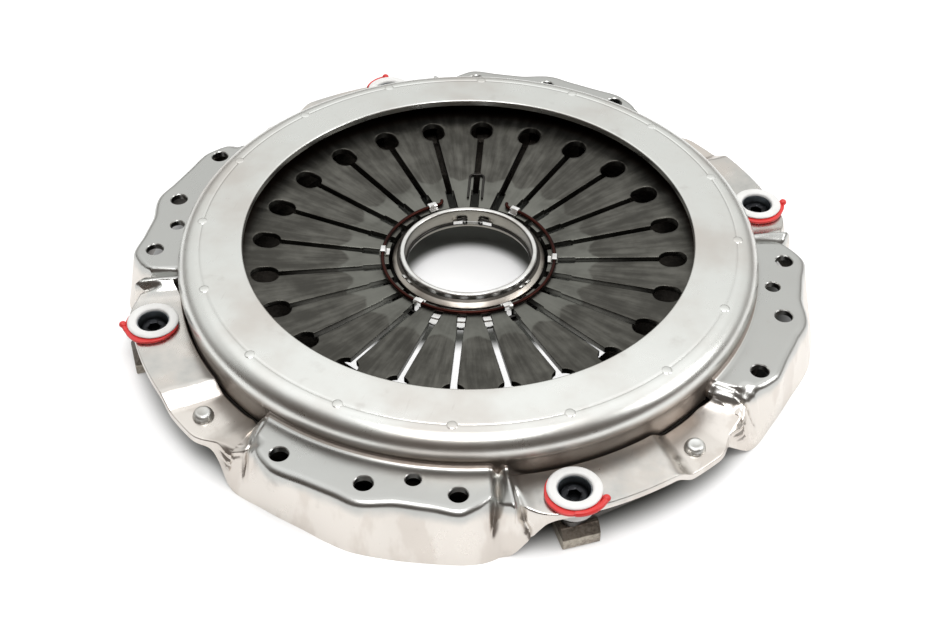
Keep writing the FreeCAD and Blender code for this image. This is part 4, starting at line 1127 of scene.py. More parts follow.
    def fold_shift(self, turn: Array, r: Array, z: Array) -> Array:
        """Outward shift of the sheet by its folds: a bell across each fold that fades to its ends.

        Args:
            turn: Turn of each section.
            r: Radius of the outer line, turns by places.
            z: Height of the outer line, turns by places.

        Returns:
            Shift in millimetres, turns by places.
        """
        along = np.radians(turn)[:, None] * self.fold_r
        steps = np.hypot(np.diff(r, axis=1), np.diff(z, axis=1))
        depth = np.concatenate([np.zeros((len(turn), 1)), np.cumsum(steps, axis=1)], axis=1)
        total = np.zeros_like(r)
        for fold in self.folds:
            a, b = (np.array([math.radians(end[0]) * self.fold_r, end[1]]) for end in (fold.start, fold.end))
            line = b - a
            size = float(np.hypot(*line))
            s = ((along - a[0]) * line[0] + (depth - a[1]) * line[1]) / size ** 2
            near = np.clip(s, 0, 1)
            away = np.hypot(along - a[0] - near * line[0], depth - a[1] - near * line[1])
            fade = np.sin(np.pi * near ** 0.85) ** 0.9
            total += fold.depth * bell(away, fold.width * (0.4 + 0.6 * fade)) * fade
        return total

    def cutters(self) -> bpy.types.Object:
        """Posts with flared ends that cut the bolt, dowel and sleeve holes of one quarter."""
        lay = LAYOUT
        holes = [(self.bolt_hole_r, lay.bolt_circle_r, self.bolt_step * i, lay.land_z) for i in range(3)]
        holes.append((self.dowel_hole_r, self.dowel_circle_r, self.dowel_turn, lay.land_z))
        low = lay.land_z - self.bridge_fall
        holes.append((self.sleeve_hole_r, lay.sleeve_circle_r, lay.sleeve_turn, low))
        flare, past = self.hole_flare, self.hole_past
        parts = []
        for radius, circle, turn, top in holes:
            mouth = radius + flare + past
            section = [(0.0, past), (mouth, past), (radius, -flare), (radius, -lay.sheet + flare),
                       (mouth, -lay.sheet - past), (0.0, -lay.sheet - past)]
            parts.append(Surface.lathe(section, 56).moved(lay.place(circle, turn, top)))
        obj = bpy.data.objects.new("hole_cutters", Surface.joined(parts).mesh("hole_cutters"))
        bpy.context.scene.collection.objects.link(obj)
        return obj

    def build(self, finishes: Finishes) -> list[bpy.types.Object]:
        """Makes one quarter, cuts its holes, and sets four copies round the axis."""
        lay = LAYOUT
        mesh = Surface.tube(self.lattice()).mesh("cover_quarter")
        blank = bpy.data.objects.new("cover_quarter", mesh)
        bpy.context.scene.collection.objects.link(blank)
        cutter = self.cutters()
        change = blank.modifiers.new("holes", "BOOLEAN")
        change.operation = "DIFFERENCE"
        change.solver = "EXACT"
        change.object = cutter
        bpy.context.view_layer.update()
        cut = bpy.data.meshes.new_from_object(blank.evaluated_get(bpy.context.evaluated_depsgraph_get()))
        bpy.data.objects.remove(blank)
        bpy.data.objects.remove(cutter)
        pieces = []
        for i in range(lay.quarters):
            copy = cut.copy()
            copy.name = f"cover_quarter_{i + 1}"
            copy.transform(Matrix.Rotation(math.radians(90.0 * i), 4, "Z"))
            shade(copy, CREASE)
            obj = add_piece(f"cover_quarter_{i + 1}", copy, finishes.cover, Slot.COVER)
            pieces.append(ride(obj, Body.COVER.value, "cover"))
        return pieces


@dataclass
class SpringFingers:
    """Diaphragm spring, one finger with its share of the belt at a time."""

    outer_r: float = 196.0
    tip_r: float = 57.0
    thickness: float = 4.8
    keyhole_r: float = 144.9
    keyhole_half_width: float = 8.0
    keyhole_half_length: float = 10.0
    keyhole_z: float = 45.3
    belt_rise: float = 4.98
    tip_fall: float = 6.95
    slot_half: float = 2.25
    notch_half: float = 3.1
    notch_end: float = 76.0
    bend_start_r: float = 191.0
    bend_end_r: float = 112.0
    across: int = 12
    bevel: float = 0.45
    hole_bevel: float = 0.75
    hole_reach: float = 9.0

    def top_z(self, radius: Array) -> Array:
        """Height of the spring's top: two straight slopes that meet at the keyholes."""
        belt = self.keyhole_z + self.belt_rise * (radius - self.keyhole_r) / (self.outer_r - self.keyhole_r)
        finger = self.keyhole_z - self.tip_fall * (self.keyhole_r - radius) / (self.keyhole_r - self.tip_r)
        return np.where(radius > self.keyhole_r, belt, finger)

    def gap(self, along: Array) -> Array:
        """Half width of the slot and its keyhole at a distance along the slot's middle."""
        half = self.keyhole_half_length - self.keyhole_half_width
        off = np.maximum(np.abs(along - self.keyhole_r) - half, 0)
        hole = np.sqrt(np.maximum(self.keyhole_half_width ** 2 - off ** 2, 0))
        slot = np.where(along < self.notch_end, self.notch_half, self.slot_half)
        return np.where(along < self.keyhole_r, np.maximum(hole, slot), hole)

    def stations(self) -> Array:
        """Distances along the slot where sections are taken, close together round the keyhole."""
        low = self.keyhole_r - self.keyhole_half_length
        high = self.keyhole_r + self.keyhole_half_length
        swing = np.linspace(0, math.pi, 30)
        hole = self.keyhole_r - self.keyhole_half_length * np.cos(swing)
        step = [self.notch_end - 0.05, self.notch_end + 0.05]
        inner = np.sort(np.concatenate([np.linspace(self.tip_r, low - 0.4, 26), step]))
        belt = np.concatenate([[high + 0.25, high + 0.8], np.linspace(high + 4.0, self.outer_r, 7)])
        return np.concatenate([inner, hole, belt])

    def finger(self) -> Surface:
        """One finger: rounded slab between two slot edges, in polar coordinates about the axis."""
        along = self.stations()
        gap = self.gap(along)
        radius = np.hypot(along, gap)
        half = math.radians(180.0 / LAYOUT.fingers) - np.arctan2(gap, along)
        high = self.keyhole_r + self.keyhole_half_length
        open_side = along <= high
        near_hole = bell(along - self.keyhole_r, self.hole_reach)
        bevel = np.where(open_side, self.bevel + self.hole_bevel * near_hole, 0.0)
        quarter = np.linspace(0, math.pi / 2, 4)
        t = np.linspace(-1, 1, self.across)[None, :]
        top_a = t * (half - bevel / radius)[:, None]
        side_a = (half - bevel / radius)[:, None] + (bevel / radius)[:, None] * np.sin(quarter)[None, :]
        drop = bevel[:, None] * (1 - np.cos(quarter))[None, :]
        angle = np.hstack([top_a, side_a, side_a[:, ::-1], top_a[:, ::-1], -side_a, -side_a[:, ::-1]])
        body = self.thickness
        flat = np.zeros_like(top_a)
        down = np.hstack([flat, drop, body - drop[:, ::-1], body + flat, body - drop, drop[:, ::-1]])
        r = np.broadcast_to(radius[:, None], angle.shape)
        z = self.top_z(r) - down
        middle = math.radians(LAYOUT.slot_direction + 180.0 / LAYOUT.fingers)
        points = np.stack([r * np.cos(angle + middle), r * np.sin(angle + middle), z], -1)
        return Surface.tube(points)

    def build(self, finishes: Finishes) -> list[bpy.types.Object]:
        """Makes the fingers, each as its own piece."""
        pieces = []
        one = self.finger()
        for i in range(LAYOUT.fingers):
            turn = 360.0 / LAYOUT.fingers * i
            name = f"spring_finger_{i + 1:02d}"
            obj = add_piece(name, one.turned(turn).mesh(name), finishes.spring, Slot.SPRING)
            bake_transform(obj)
            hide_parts("diaphragm_spring")
            report(obj, "cover and release")
            pieces.append(obj)
        return pieces


@dataclass
class ReleaseGroup:
    """Release sleeve with its snap ring, washer, rings, clips, tabs and locking wire.

    The tongues' sections are (radius, height) points, above the finger tips' top for slot_tongue and above
    channel_z for channel_tongue.
    """

    bore_r: float = 45.2
    outer_r: float = 49.2
    top_z: float = 45.2
    bottom_z: float = 24.0
    bore_low_z: float = 29.8
    mouth_r: float = 53.5
    flange_r: float = 63.0
    flange_top_z: float = 27.68
    flange_cut: float = 0.8
    groove_z: float = 33.0
    groove_half: float = 1.35
    groove_depth: float = 1.6
    snap_r: float = 45.45
    snap_wire_r: float = 1.3
    snap_gap: float = 18.0
    snap_hook_half: float = 6.0
    snap_hook_z: float = 38.0
    snap_hook_end: tuple[float, float] = (13.0, 15.0)
    snap_hook_wire_r: float = 0.85
    snap_direction: float = 102.47
    snap_tab: float = 7.0
    snap_tab_turn: float = 14.5
    snap_tab_height: float = 2.8
    snap_tab_depth: float = 2.6
    support_r: float = 59.6
    support_wire_r: float = 3.0
    support_z: float = 30.70
    washer_r: float = 54.4
    washer_low_z: float = 36.1
    washer_gauge: float = 1.4
    washer_dish: float = 3.7
    finger_ring_r: float = 61.4
    finger_wire_r: float = 1.4
    finger_ring_z: float = 40.15
    finger_ring_gap: float = 50.0
    finger_hook_turn: float = 3.0
    finger_hook_out: float = 3.4
    finger_hook_rise: float = 0.8
    channel_z: float = 38.9
    clips: int = 6
    clip_width: float = 6.4
    clip_gauge: float = 0.9
    clip_leg: float = 6.5
    clip_leg_half: float = 1.9
    clip_foot: float = 3.3
    tongue_edge: float = 0.15
    slot_tongue_half: float = 2.7
    slot_tongue: tuple[tuple[float, float], ...] = (
        (64.9, -0.7), (68.6, -0.5), (69.2, 0.5), (70.4, 0.5), (71.0, -0.4), (75.2, -0.2), (75.2, -1.1),
        (71.2, -1.3), (70.6, -1.0), (69.0, -1.0), (68.4, -1.4), (64.9, -1.6),
    )
    channel_tongue_half: float = 1.9
    channel_tongue: tuple[tuple[float, float], ...] = (
        (50.6, 0.0), (51.0, 3.2), (53.0, 3.9), (53.2, 3.1), (51.7, 2.6), (51.5, 0.0),
    )
    tab_directions: tuple[float, ...] = (267.47, 282.47, 297.47)
    channel_directions: tuple[float, ...] = (226.5, 233.5, 332.0, 339.5)
    lock_r: float = 66.0
    lock_half: float = 5.2
    lock_length: float = 26.0
    lock_wire_r: float = 0.9
    lock_bend: float = 3.0

    def tip_z(self, radius: float) -> float:
        """Height of the fingers' top at a radius."""
        spring = SpringFingers()
        return float(spring.top_z(np.array([radius]))[0])

    def sleeve(self) -> Surface:
        """Turned sleeve: bore with its groove, rounded lip and flange."""
        b, o, f = self.bore_r, self.outer_r, self.flange_r
        top, bottom, low, cut = self.top_z, self.bottom_z, self.bore_low_z, self.flange_cut
        deep = b + self.groove_depth
        groove_low, groove_high = self.groove_z - self.groove_half, self.groove_z + self.groove_half
        section = [(b, top - 1.2), (b + 0.5, top - 0.35), (b + 1.2, top), (o - 1.0, top), (o, top - 1.0),
                   (o, low + 2.0), (o + 2.5, self.flange_top_z), (f - cut, self.flange_top_z),
                   (f, self.flange_top_z - cut), (f, bottom + cut), (f - cut, bottom), (self.mouth_r, bottom),
                   (b + 0.8, low - 0.7), (b, low), (b, groove_low), (deep, groove_low), (deep, groove_high),
                   (b, groove_high)]
        return Surface.lathe(softened(section, 0.35, 2), 192)

    def snap_ring(self) -> Surface:
        """Open wire ring in the groove; each end turns up and back over its tab."""
        half = self.snap_gap / 2
        start = self.snap_direction + half
        low, high, hook = self.groove_z, self.snap_hook_z, self.snap_hook_half
        parts = [Surface.ring(self.snap_r, self.snap_wire_r, low, 150, 12, start, 360.0 - self.snap_gap)]
        bend = [half, half - 0.8, hook + 0.4, hook, hook, hook + 0.5, hook + 1.8]
        turn = np.array([*bend, *self.snap_hook_end])
        z = np.array([low, low, low + 0.1, low + 1.4, high - 1.4, high - 0.4, high, high, high - 0.2])
        r = np.full(len(turn), self.bore_r - self.snap_wire_r)
        r[0] = self.snap_r
        for side in (-1.0, 1.0):
            a = np.radians(self.snap_direction + side * turn)
            parts.append(Surface.pipe(np.stack([r * np.cos(a), r * np.sin(a), z], -1), self.snap_hook_wire_r))
        return Surface.joined(parts)

    def snap_tabs(self) -> Surface:
        """Bright flat tongues that hold the ends of the wire ring."""
        low = self.groove_z + self.snap_wire_r + 0.1
        high = self.groove_z + self.snap_wire_r + self.snap_tab_height
        front, back = self.bore_r - self.snap_tab_depth, self.bore_r - 0.1
        tab = Surface.strip([(front, high), (back, high), (back, low), (front, low)], self.snap_tab / 2, 0.3)
        turns = (self.snap_direction - self.snap_tab_turn, self.snap_direction + self.snap_tab_turn)
        return Surface.joined([tab.turned(turn) for turn in turns])

    def finger_ring(self) -> Surface:
        """Thin open ring on the finger tips, whose ends rise over the clips by the gap and turn outwards."""
        half = self.finger_ring_gap / 2
        start = self.snap_direction + half
        parts = [Surface.ring(self.finger_ring_r, self.finger_wire_r, self.finger_ring_z, 150, 12, start,
                              360.0 - self.finger_ring_gap)]
        t = np.linspace(0, math.pi / 2, 9)
        r = self.finger_ring_r + self.finger_hook_out * (1 - np.cos(t))
        for side in (-1.0, 1.0):
            a = np.radians(self.snap_direction + side * (half - self.finger_hook_turn * np.sin(t)))
            rise = self.finger_hook_rise * np.sin(t)
            path = np.stack([r * np.cos(a), r * np.sin(a), self.finger_ring_z + rise], -1)
            parts.append(Surface.pipe(path, self.finger_wire_r - 0.1))
        return Surface.joined(parts)

    def washer(self) -> Surface:
        """Coned ring: its bore stands high on the sleeve and its rim lies low inside the finger tips."""
        low, g = self.washer_low_z, self.washer_gauge
        bore = self.outer_r + 0.2
        section = [(self.washer_r, low), (self.washer_r, low + g), (bore, low + g + self.washer_dish),
                   (bore, low + self.washer_dish)]
        return Surface.lathe(softened(section, 0.3, 3), 160)

    def ring_clips(self) -> Surface:
        """Clips: a strip folded over the thin ring, with a narrow leg down into the slot."""
        g = self.clip_gauge
        over = self.finger_ring_z + self.finger_wire_r + 0.05
        back = self.finger_ring_r - self.finger_wire_r - 0.05
        front = self.finger_ring_r + self.finger_wire_r + 0.05
        foot = self.tip_z(back) + 0.1
        shelf = self.tip_z(front) + 0.1
        toe = back - self.clip_foot
        under = [(toe, foot), (back - 0.3, foot), (back, foot + 0.3), (back, over - 0.5), (back + 0.5, over),
                 (front - 0.5, over), (front, over - 0.5), (front, shelf)]
        outer = [(front + g, shelf), (front + g, over + 0.1), (front + 0.1, over + g),
                 (back - 0.1, over + g), (back - g, over + 0.1), (back - g, foot + g + 0.3),
                 (back - g - 0.3, foot + g), (toe, foot + g)]
        leg_low, leg_top = shelf + g - self.clip_leg, shelf + 0.6
        leg = [(front, leg_top), (front + g, leg_top), (front + g, leg_low), (front, leg_low)]
        one = Surface.joined([Surface.strip(under + outer, self.clip_width / 2, 0.2),
                              Surface.strip(leg, self.clip_leg_half, self.tongue_edge)])
        first = LAYOUT.slot_direction
        return Surface.joined([one.turned(first + 360.0 / self.clips * i) for i in range(self.clips)])

    def slot_tabs(self) -> Surface:
        """Bright tongues in the wide ends of the front slots, each with a cross fold."""
        z = self.tip_z(70.0)
        section = [(r, z + up) for r, up in self.slot_tongue]
        one = Surface.strip(section, self.slot_tongue_half, self.tongue_edge)
        return Surface.joined([one.turned(a) for a in self.tab_directions])

    def channel_tabs(self) -> Surface:
        """Short upright tongues in the channel between the sleeve and the washer."""
        section = [(r, self.channel_z + up) for r, up in self.channel_tongue]
        one = Surface.strip(section, self.channel_tongue_half, self.tongue_edge)
        return Surface.joined([one.turned(a) for a in self.channel_directions])

    def locking_wire(self) -> Surface:
        """Wire along a path: out on one side, round two bends and back on the other."""
        slope = (self.tip_z(100.0) - self.tip_z(self.lock_r)) / (100.0 - self.lock_r)
        half, far, bend = self.lock_half, self.lock_length, self.lock_bend
        a = np.linspace(0, math.pi / 2, 9)
        x = np.concatenate([np.linspace(0, far - bend, 12)[:-1], far - bend + bend * np.sin(a)])
        y = np.concatenate([np.full(11, -half), bend - half - bend * np.cos(a)])
        x, y = np.concatenate([x, x[::-1]]), np.concatenate([y, -y[::-1]])
        lift = self.tip_z(self.lock_r) + self.lock_wire_r + 0.05
        path = np.stack([self.lock_r + x, y, lift + slope * x], -1)
        return Surface.pipe(path, self.lock_wire_r).turned(self.snap_direction)

    def build(self, finishes: Finishes) -> list[bpy.types.Object]:
        """Makes the sleeve and what is held on it."""
        body = Body.RELEASE.value
        table = (
            ("sleeve_body", self.sleeve(), finishes.sleeve, Slot.SLEEVE, ("release_sleeve",)),
            ("snap_ring_wire", self.snap_ring(), finishes.wire, Slot.WIRE, ("bearing_snap_ring",)),
            ("snap_tab_set", self.snap_tabs(), finishes.bright, Slot.BRIGHT, ()),
            ("support_wire", Surface.ring(self.support_r, self.support_wire_r, self.support_z),
             finishes.wire, Slot.WIRE, ("support_ring",)),
            ("washer_dished", self.washer(), finishes.washer, Slot.BRIGHT, ("preload_washer",)),
            ("finger_ring_wire", self.finger_ring(), finishes.copper, Slot.COPPER, ("finger_ring",)),
            ("clip_set", self.ring_clips(), finishes.bright, Slot.BRIGHT, ("ring_clips",)),
            ("slot_tab_set", self.slot_tabs(), finishes.bright, Slot.BRIGHT, ()),
            ("channel_tab_set", self.channel_tabs(), finishes.bright, Slot.BRIGHT, ()),
            ("locking_wire_bent", self.locking_wire(), finishes.wire, Slot.WIRE, ("locking_wire",)),
        )
        return [ride(add_piece(name, shape.mesh(name, 34.0), finish, slot), body, *nodes)
                for name, shape, finish, slot, nodes in table]


@dataclass
class TransportSleeves:
    """White flanged sleeves round the heads of the lug bolts, with a dark lining and a red tie.

    For each tie in turn: leans is the direction in which its band hangs, joins and knobs are the directions
    where its arm starts and ends, and arm_r is the arm's radius. edge_waves: (depth, count, phase) of the
    waves in the band's edge.
    """

    bore_r: float = 10.8
    neck_r: float = 13.5
    flange_r: float = 17.6
    low_z: float = 19.325
    top_z: float = 36.925
    flange: float = 2.2
    lining_low_z: float = 21.6
    lining_drop: float = 2.0
    lining_r: float = 10.15
    lining_play: float = 0.03
    tie_low_z: float = 32.5
    tie_top_z: float = 34.6
    tie_inner_r: float = 13.6
    tie_outer_r: float = 18.1
    tie_shift: float = 2.4
    tie_floor_z: float = 32.1
    edge_waves: tuple[tuple[float, float, float], ...] = ((0.25, 3, 0.7), (0.15, 7, 0.0))
    edge_lift: float = 0.2
    leans: tuple[float, ...] = (258.0, 304.0, 262.0, 256.0)
    joins: tuple[float, ...] = (285.0, 350.0, 178.0, 226.0)
    knobs: tuple[float, ...] = (356.0, 26.0, 118.0, 204.0)
    arm_r: tuple[float, ...] = (2.0, 0.8, 1.2, 1.4)
    arm_out: float = 1.2
    arm_spread: float = 1.6
    arm_rise: float = 0.6
    knob_r: float = 2.7
    knob_squash: float = 0.85
    knob_lift: float = 0.3

    def sleeve(self) -> Surface:
        """Moulded sleeve: neck, thin flange with a full round edge and a soft rim round the bore."""
        under, top = self.top_z - self.flange, self.top_z
        b, f, neck = self.bore_r, self.flange_r, self.neck_r
        section = [(b, self.low_z), (neck, self.low_z), (neck, under - 0.6), (neck + 0.6, under),
                   (f - 0.7, under), (f, under + 0.6), (f - 0.15, top - 0.9), (f - 1.3, top - 0.1),
                   (b + 2.6, top), (b + 1.1, top - 0.15), (b + 0.2, top - 1.0)]
        return Surface.lathe(softened(section, 0.6, 3), 80)

    def lining(self) -> Surface:
        """Thin dark bush inside the bore, from the bolt's collar up to below the rim."""
        high = self.top_z - self.lining_drop
        outer = self.bore_r - self.lining_play
        section = [(self.lining_r, self.lining_low_z), (outer, self.lining_low_z), (outer, high),
                   (self.lining_r + 0.2, high), (self.lining_r, high - 0.3)]
        return Surface.lathe(section, 64)

    def band(self, index: int) -> Surface:
        """Band round the neck that hangs to one side, with a waved edge."""
        a = np.linspace(0, 2 * math.pi, 96, endpoint=False)[:, None]
        inner, outer, low, top = self.tie_inner_r, self.tie_outer_r, self.tie_low_z, self.tie_top_z
        section = softened([(inner, low), (outer, low), (outer, top), (inner, top)], 0.5, 3)
        r, z = np.array(section, float).T
        share = (r - inner) / (outer - inner)
        radius = r + share * sum(depth * np.sin(count * a + phase) for depth, count, phase in self.edge_waves)
        height = z + share * self.edge_lift * np.sin(2 * a + 1.0)
        lean = math.radians(self.leans[index])
        x = radius * np.cos(a) + self.tie_shift * share * math.cos(lean)
        y = radius * np.sin(a) + self.tie_shift * share * math.sin(lean)
        height = np.clip(height, self.tie_floor_z, None)
        return Surface.grid(np.stack([x, y, height], -1), wrap_rows=True, wrap_columns=True)

    def arm(self, index: int) -> Surface:
        """Arm that curls round the flange from its band and ends in a knob."""
        start, end = self.joins[index], self.knobs[index]
        end += 360.0 if end < start - 180.0 else 0.0
        turn = np.radians(np.linspace(start, end, 14))
        t = np.linspace(0, 1, 14)
        reach = self.flange_r + self.arm_out + self.arm_spread * t
        height = (self.tie_low_z + self.tie_top_z) / 2 + self.arm_rise * t
        path = np.stack([reach * np.cos(turn), reach * np.sin(turn), height], -1)
        k = self.knob_r
        swell = np.linspace(0, math.pi, 13)[::-1]
        side = [(float(k * math.sin(v)), float(-k * self.knob_squash * math.cos(v))) for v in swell]
        knob = Surface.lathe(side, 28).moved(path[-1] + np.array([0.0, 0.0, self.knob_lift]))
        return Surface.joined([Surface.pipe(path, self.arm_r[index]), knob])

    def tie(self, index: int) -> Surface:
        """Band with its arm."""
        return Surface.joined([self.band(index), self.arm(index)])

    def build(self, finishes: Finishes) -> list[bpy.types.Object]:
        """Makes the four sleeves, their linings and their ties."""
        lay = LAYOUT
        made = []
        for i in range(lay.quarters):
            at = lay.place(lay.sleeve_circle_r, lay.sleeve_turn + 90.0 * i, 0.0)
            n = i + 1
            carrier = Body.transport_sleeve(n)
            stood_for = f"transport_sleeve_{n}"
            table = (
                (f"sleeve_moulding_{n}", self.sleeve(), finishes.white, Slot.WHITE, (stood_for,)),
                (f"bore_lining_{n}", self.lining(), finishes.lining, Slot.BOLT, ()),
                (f"tie_band_{n}", self.tie(i), finishes.red, Slot.RED, (f"tie_{n}",)),
            )
            for name, shape, finish, slot, nodes in table:
                made.append(ride(add_piece(name, shape.moved(at).mesh(name), finish, slot), carrier, *nodes))
        return made


@dataclass
class EarRivets:
    """Flat-topped rivets on the ears, each with a dented crown.

    crown: the head's section, as (share of head_r, drop below the head's top) points.
    """

    head_r: float = 6.8
    head_height: float = 4.7
    shank_r: float = 5.0
    tail_r: float = 7.6
    tail_drop: float = 9.05
    tail_height: float = 3.5
    tail_bevel: float = 1.4
    crown: tuple[tuple[float, float], ...] = (
        (0.0, 0.35), (0.36, 0.3), (0.50, 0.05), (0.62, 0.0), (0.78, 0.45), (0.90, 1.4), (0.97, 2.4),
    )

    def rivet(self) -> Surface:
        """Lathe form: formed tail below the leaves, shank, and a low head with a ring round its top."""
        top = LAYOUT.land_z - LAYOUT.ear_fall
        tail_top = top - self.tail_drop
        tail_low = tail_top - self.tail_height
        r, shank, tail = self.head_r, self.shank_r, self.tail_r
        head = [(r * share, top + self.head_height - drop) for share, drop in self.crown]
        section = head + [(r, top + 1.2), (r + 0.25, top + 0.7), (r, top + 0.05), (shank, top + 0.05),
                          (shank, tail_top), (tail, tail_top), (tail, tail_low + 1.5),
                          (tail - self.tail_bevel, tail_low), (0.0, tail_low)]
        return Surface.lathe(section, 48)

    def build(self, finishes: Finishes) -> bpy.types.Object:
        """Makes the four rivets as one piece."""
        lay = LAYOUT
        parts = [self.rivet().moved(lay.place(lay.bolt_circle_r, lay.rivet_turn + 90.0 * i, 0.0))
                 for i in range(lay.quarters)]
        mesh = Surface.joined(parts).mesh("ear_rivet_set", 50.0)
        rivets = add_piece("ear_rivet_set", mesh, finishes.rivet, Slot.RIVET)
        return ride(rivets, Body.COVER.value, "ear_rivets")


@dataclass
class PlateGroup:
    """Pressure plate casting with its lugs, and the bolts that clamp the leaves to it."""

    inner_r: float = 122.0
    outer_r: float = 215.5
    low_z: float = 0.8
    step_z: float = 12.4
    step_r: float = 203.0
    top_z: float = 20.8
    rim_r: float = 172.0
    crown_z: float = 42.65
    rim_flat: float = 1.4
    rim_half: float = 3.6
    rim_foot: float = 9.0
    rim_tilt: float = 0.25
    chamfer: float = 2.0
    face_edge: float = 0.8
    vent_z: float = 25.8
    vent_width: float = 12.0
    lug_inner_r: float = 196.0
    lug_outer_r: float = 243.0
    lug_width: float = 25.0
    lug_z: float = 15.3
    lug_slope: tuple[float, float] = (4.5, 6.3)
    end_z: float = 3.3
    shank_r: float = 5.0
    collar_r: float = 10.1
    collar_height: float = 2.0
    head_r: float = 8.5
    head_low_z: float = 21.325
    head_high_z: float = 30.325
    socket_r: float = 4.6
    socket_depth: float = 5.0
    knurl_depth: float = 0.012
    knurl_count: int = 36

    def casting(self) -> Surface:
        """Ring turned round the axis whose raised rim is cut down to the vent floor at every slot."""
        m, c, e = self.rim_r, self.chamfer, self.face_edge
        inner, outer, low, top, crown = self.inner_r, self.outer_r, self.low_z, self.top_z, self.crown_z
        step = self.step_z
        flat, half, foot = self.rim_flat, self.rim_half, self.rim_foot
        section = [(m - flat, crown), (m - half, crown - 2), (m - foot, top), (inner + c, top),
                   (inner, top - c), (inner, low + e), (inner + e, low), (outer - e, low), (outer, low + e),
                   (outer, step - c), (outer - c, step), (self.step_r, step), (self.step_r - c, top),
                   (m + foot, top), (m + half, crown - 2), (m + flat, crown + self.rim_tilt)]
        r, z = np.array(softened(section, 0.8, 2), float).T
        share = 360.0 / LAYOUT.fingers
        edge = math.degrees(math.asin(self.vent_width / 2 / m))
        local = np.sort(np.concatenate([np.linspace(-share / 2, share / 2, 9)[:-1],
                                        [-edge - 0.15, -edge, edge, edge + 0.15]]))
        angle = (local[None, :] + share * np.arange(LAYOUT.fingers)[:, None]).ravel()
        vent = (np.abs(np.tile(local, LAYOUT.fingers)) < edge + 0.05)[:, None]
        height = np.where(vent, np.minimum(z, self.vent_z), z)
        a = np.radians(angle + LAYOUT.slot_direction)[:, None]
        points = np.stack([r * np.cos(a), r * np.sin(a), height], -1)
        return Surface.grid(points, wrap_rows=True, wrap_columns=True)

    def lug(self) -> Surface:
        """Block with softened edges and a sloped front, pointing along +X."""
        run, drop = self.lug_slope
        side = [(self.lug_inner_r, self.lug_z), (self.lug_outer_r - run, self.lug_z),
                (self.lug_outer_r, self.lug_z - drop), (self.lug_outer_r, self.low_z),
                (self.lug_outer_r - run, self.low_z), (self.lug_inner_r, self.low_z)]
        return Surface.strip(softened(side, 0.9, 3), self.lug_width / 2, 0.8)

    def bolt(self) -> Surface:
        """Socket-head bolt: shank, collar, knurled head with rounded rim, six-sided socket.

        The radius of the socket's points follows a hexagon: the flat's distance over the cosine of the
        angle from the middle of the nearest flat.
        """
        low, high, floor = self.head_low_z, self.head_high_z, self.head_high_z - self.socket_depth
        s = self.socket_r
        end, shank, collar, head = self.end_z, self.shank_r, self.collar_r, self.head_r
        under = low - self.collar_height
        section = [(0.0, end), (shank - 0.6, end), (shank, end + 0.6), (shank, under), (collar - 0.3, under),
                   (collar, under + 0.3), (collar, low - 0.4), (collar - 0.4, low), (head, low),
                   (head, high - 1.2), (head - 0.35, high - 0.35), (head - 1.2, high), (s + 0.7, high),
                   (s, high - 0.6), (s, floor), (0.0, floor)]
        a = np.linspace(0, 2 * math.pi, 72, endpoint=False)[:, None]
        r, z = np.array(section, float).T
        hexagon = math.cos(math.pi / 6) / np.cos((a + math.pi / 6) % (math.pi / 3) - math.pi / 6)
        socket = np.isclose(r, s) & (z < high)
        side = np.isclose(r, head) & (z > low - 0.1)
        knurl = 1.0 + self.knurl_depth * np.cos(self.knurl_count * a) * side
        radius = r * np.where(socket, hexagon, 1.0) * knurl
        points = np.stack([radius * np.cos(a), radius * np.sin(a), np.broadcast_to(z, radius.shape)], -1)
        return Surface.grid(points, wrap_rows=True, wrap_columns=True)

    def build(self, finishes: Finishes) -> list[bpy.types.Object]:
        """Makes the casting with its lugs, and the bolts."""
        lay = LAYOUT
        turns = [lay.sleeve_turn + 90.0 * i for i in range(lay.quarters)]
        plate = Surface.joined([self.casting()] + [self.lug().turned(lay.direction(t)) for t in turns])
        bolts = Surface.joined([self.bolt().moved(lay.place(lay.sleeve_circle_r, t, 0.0)) for t in turns])
        body = Body.PLATE.value
        casting = add_piece("plate_casting", plate.mesh("plate_casting"), finishes.iron, Slot.PLATE)
        bolt_mesh = bolts.mesh("socket_bolt_set", 30.0)
        bolt_set = add_piece("socket_bolt_set", bolt_mesh, finishes.black, Slot.BOLT)
        return [ride(casting, body, "pressure_plate"), ride(bolt_set, body, "lug_bolts")]


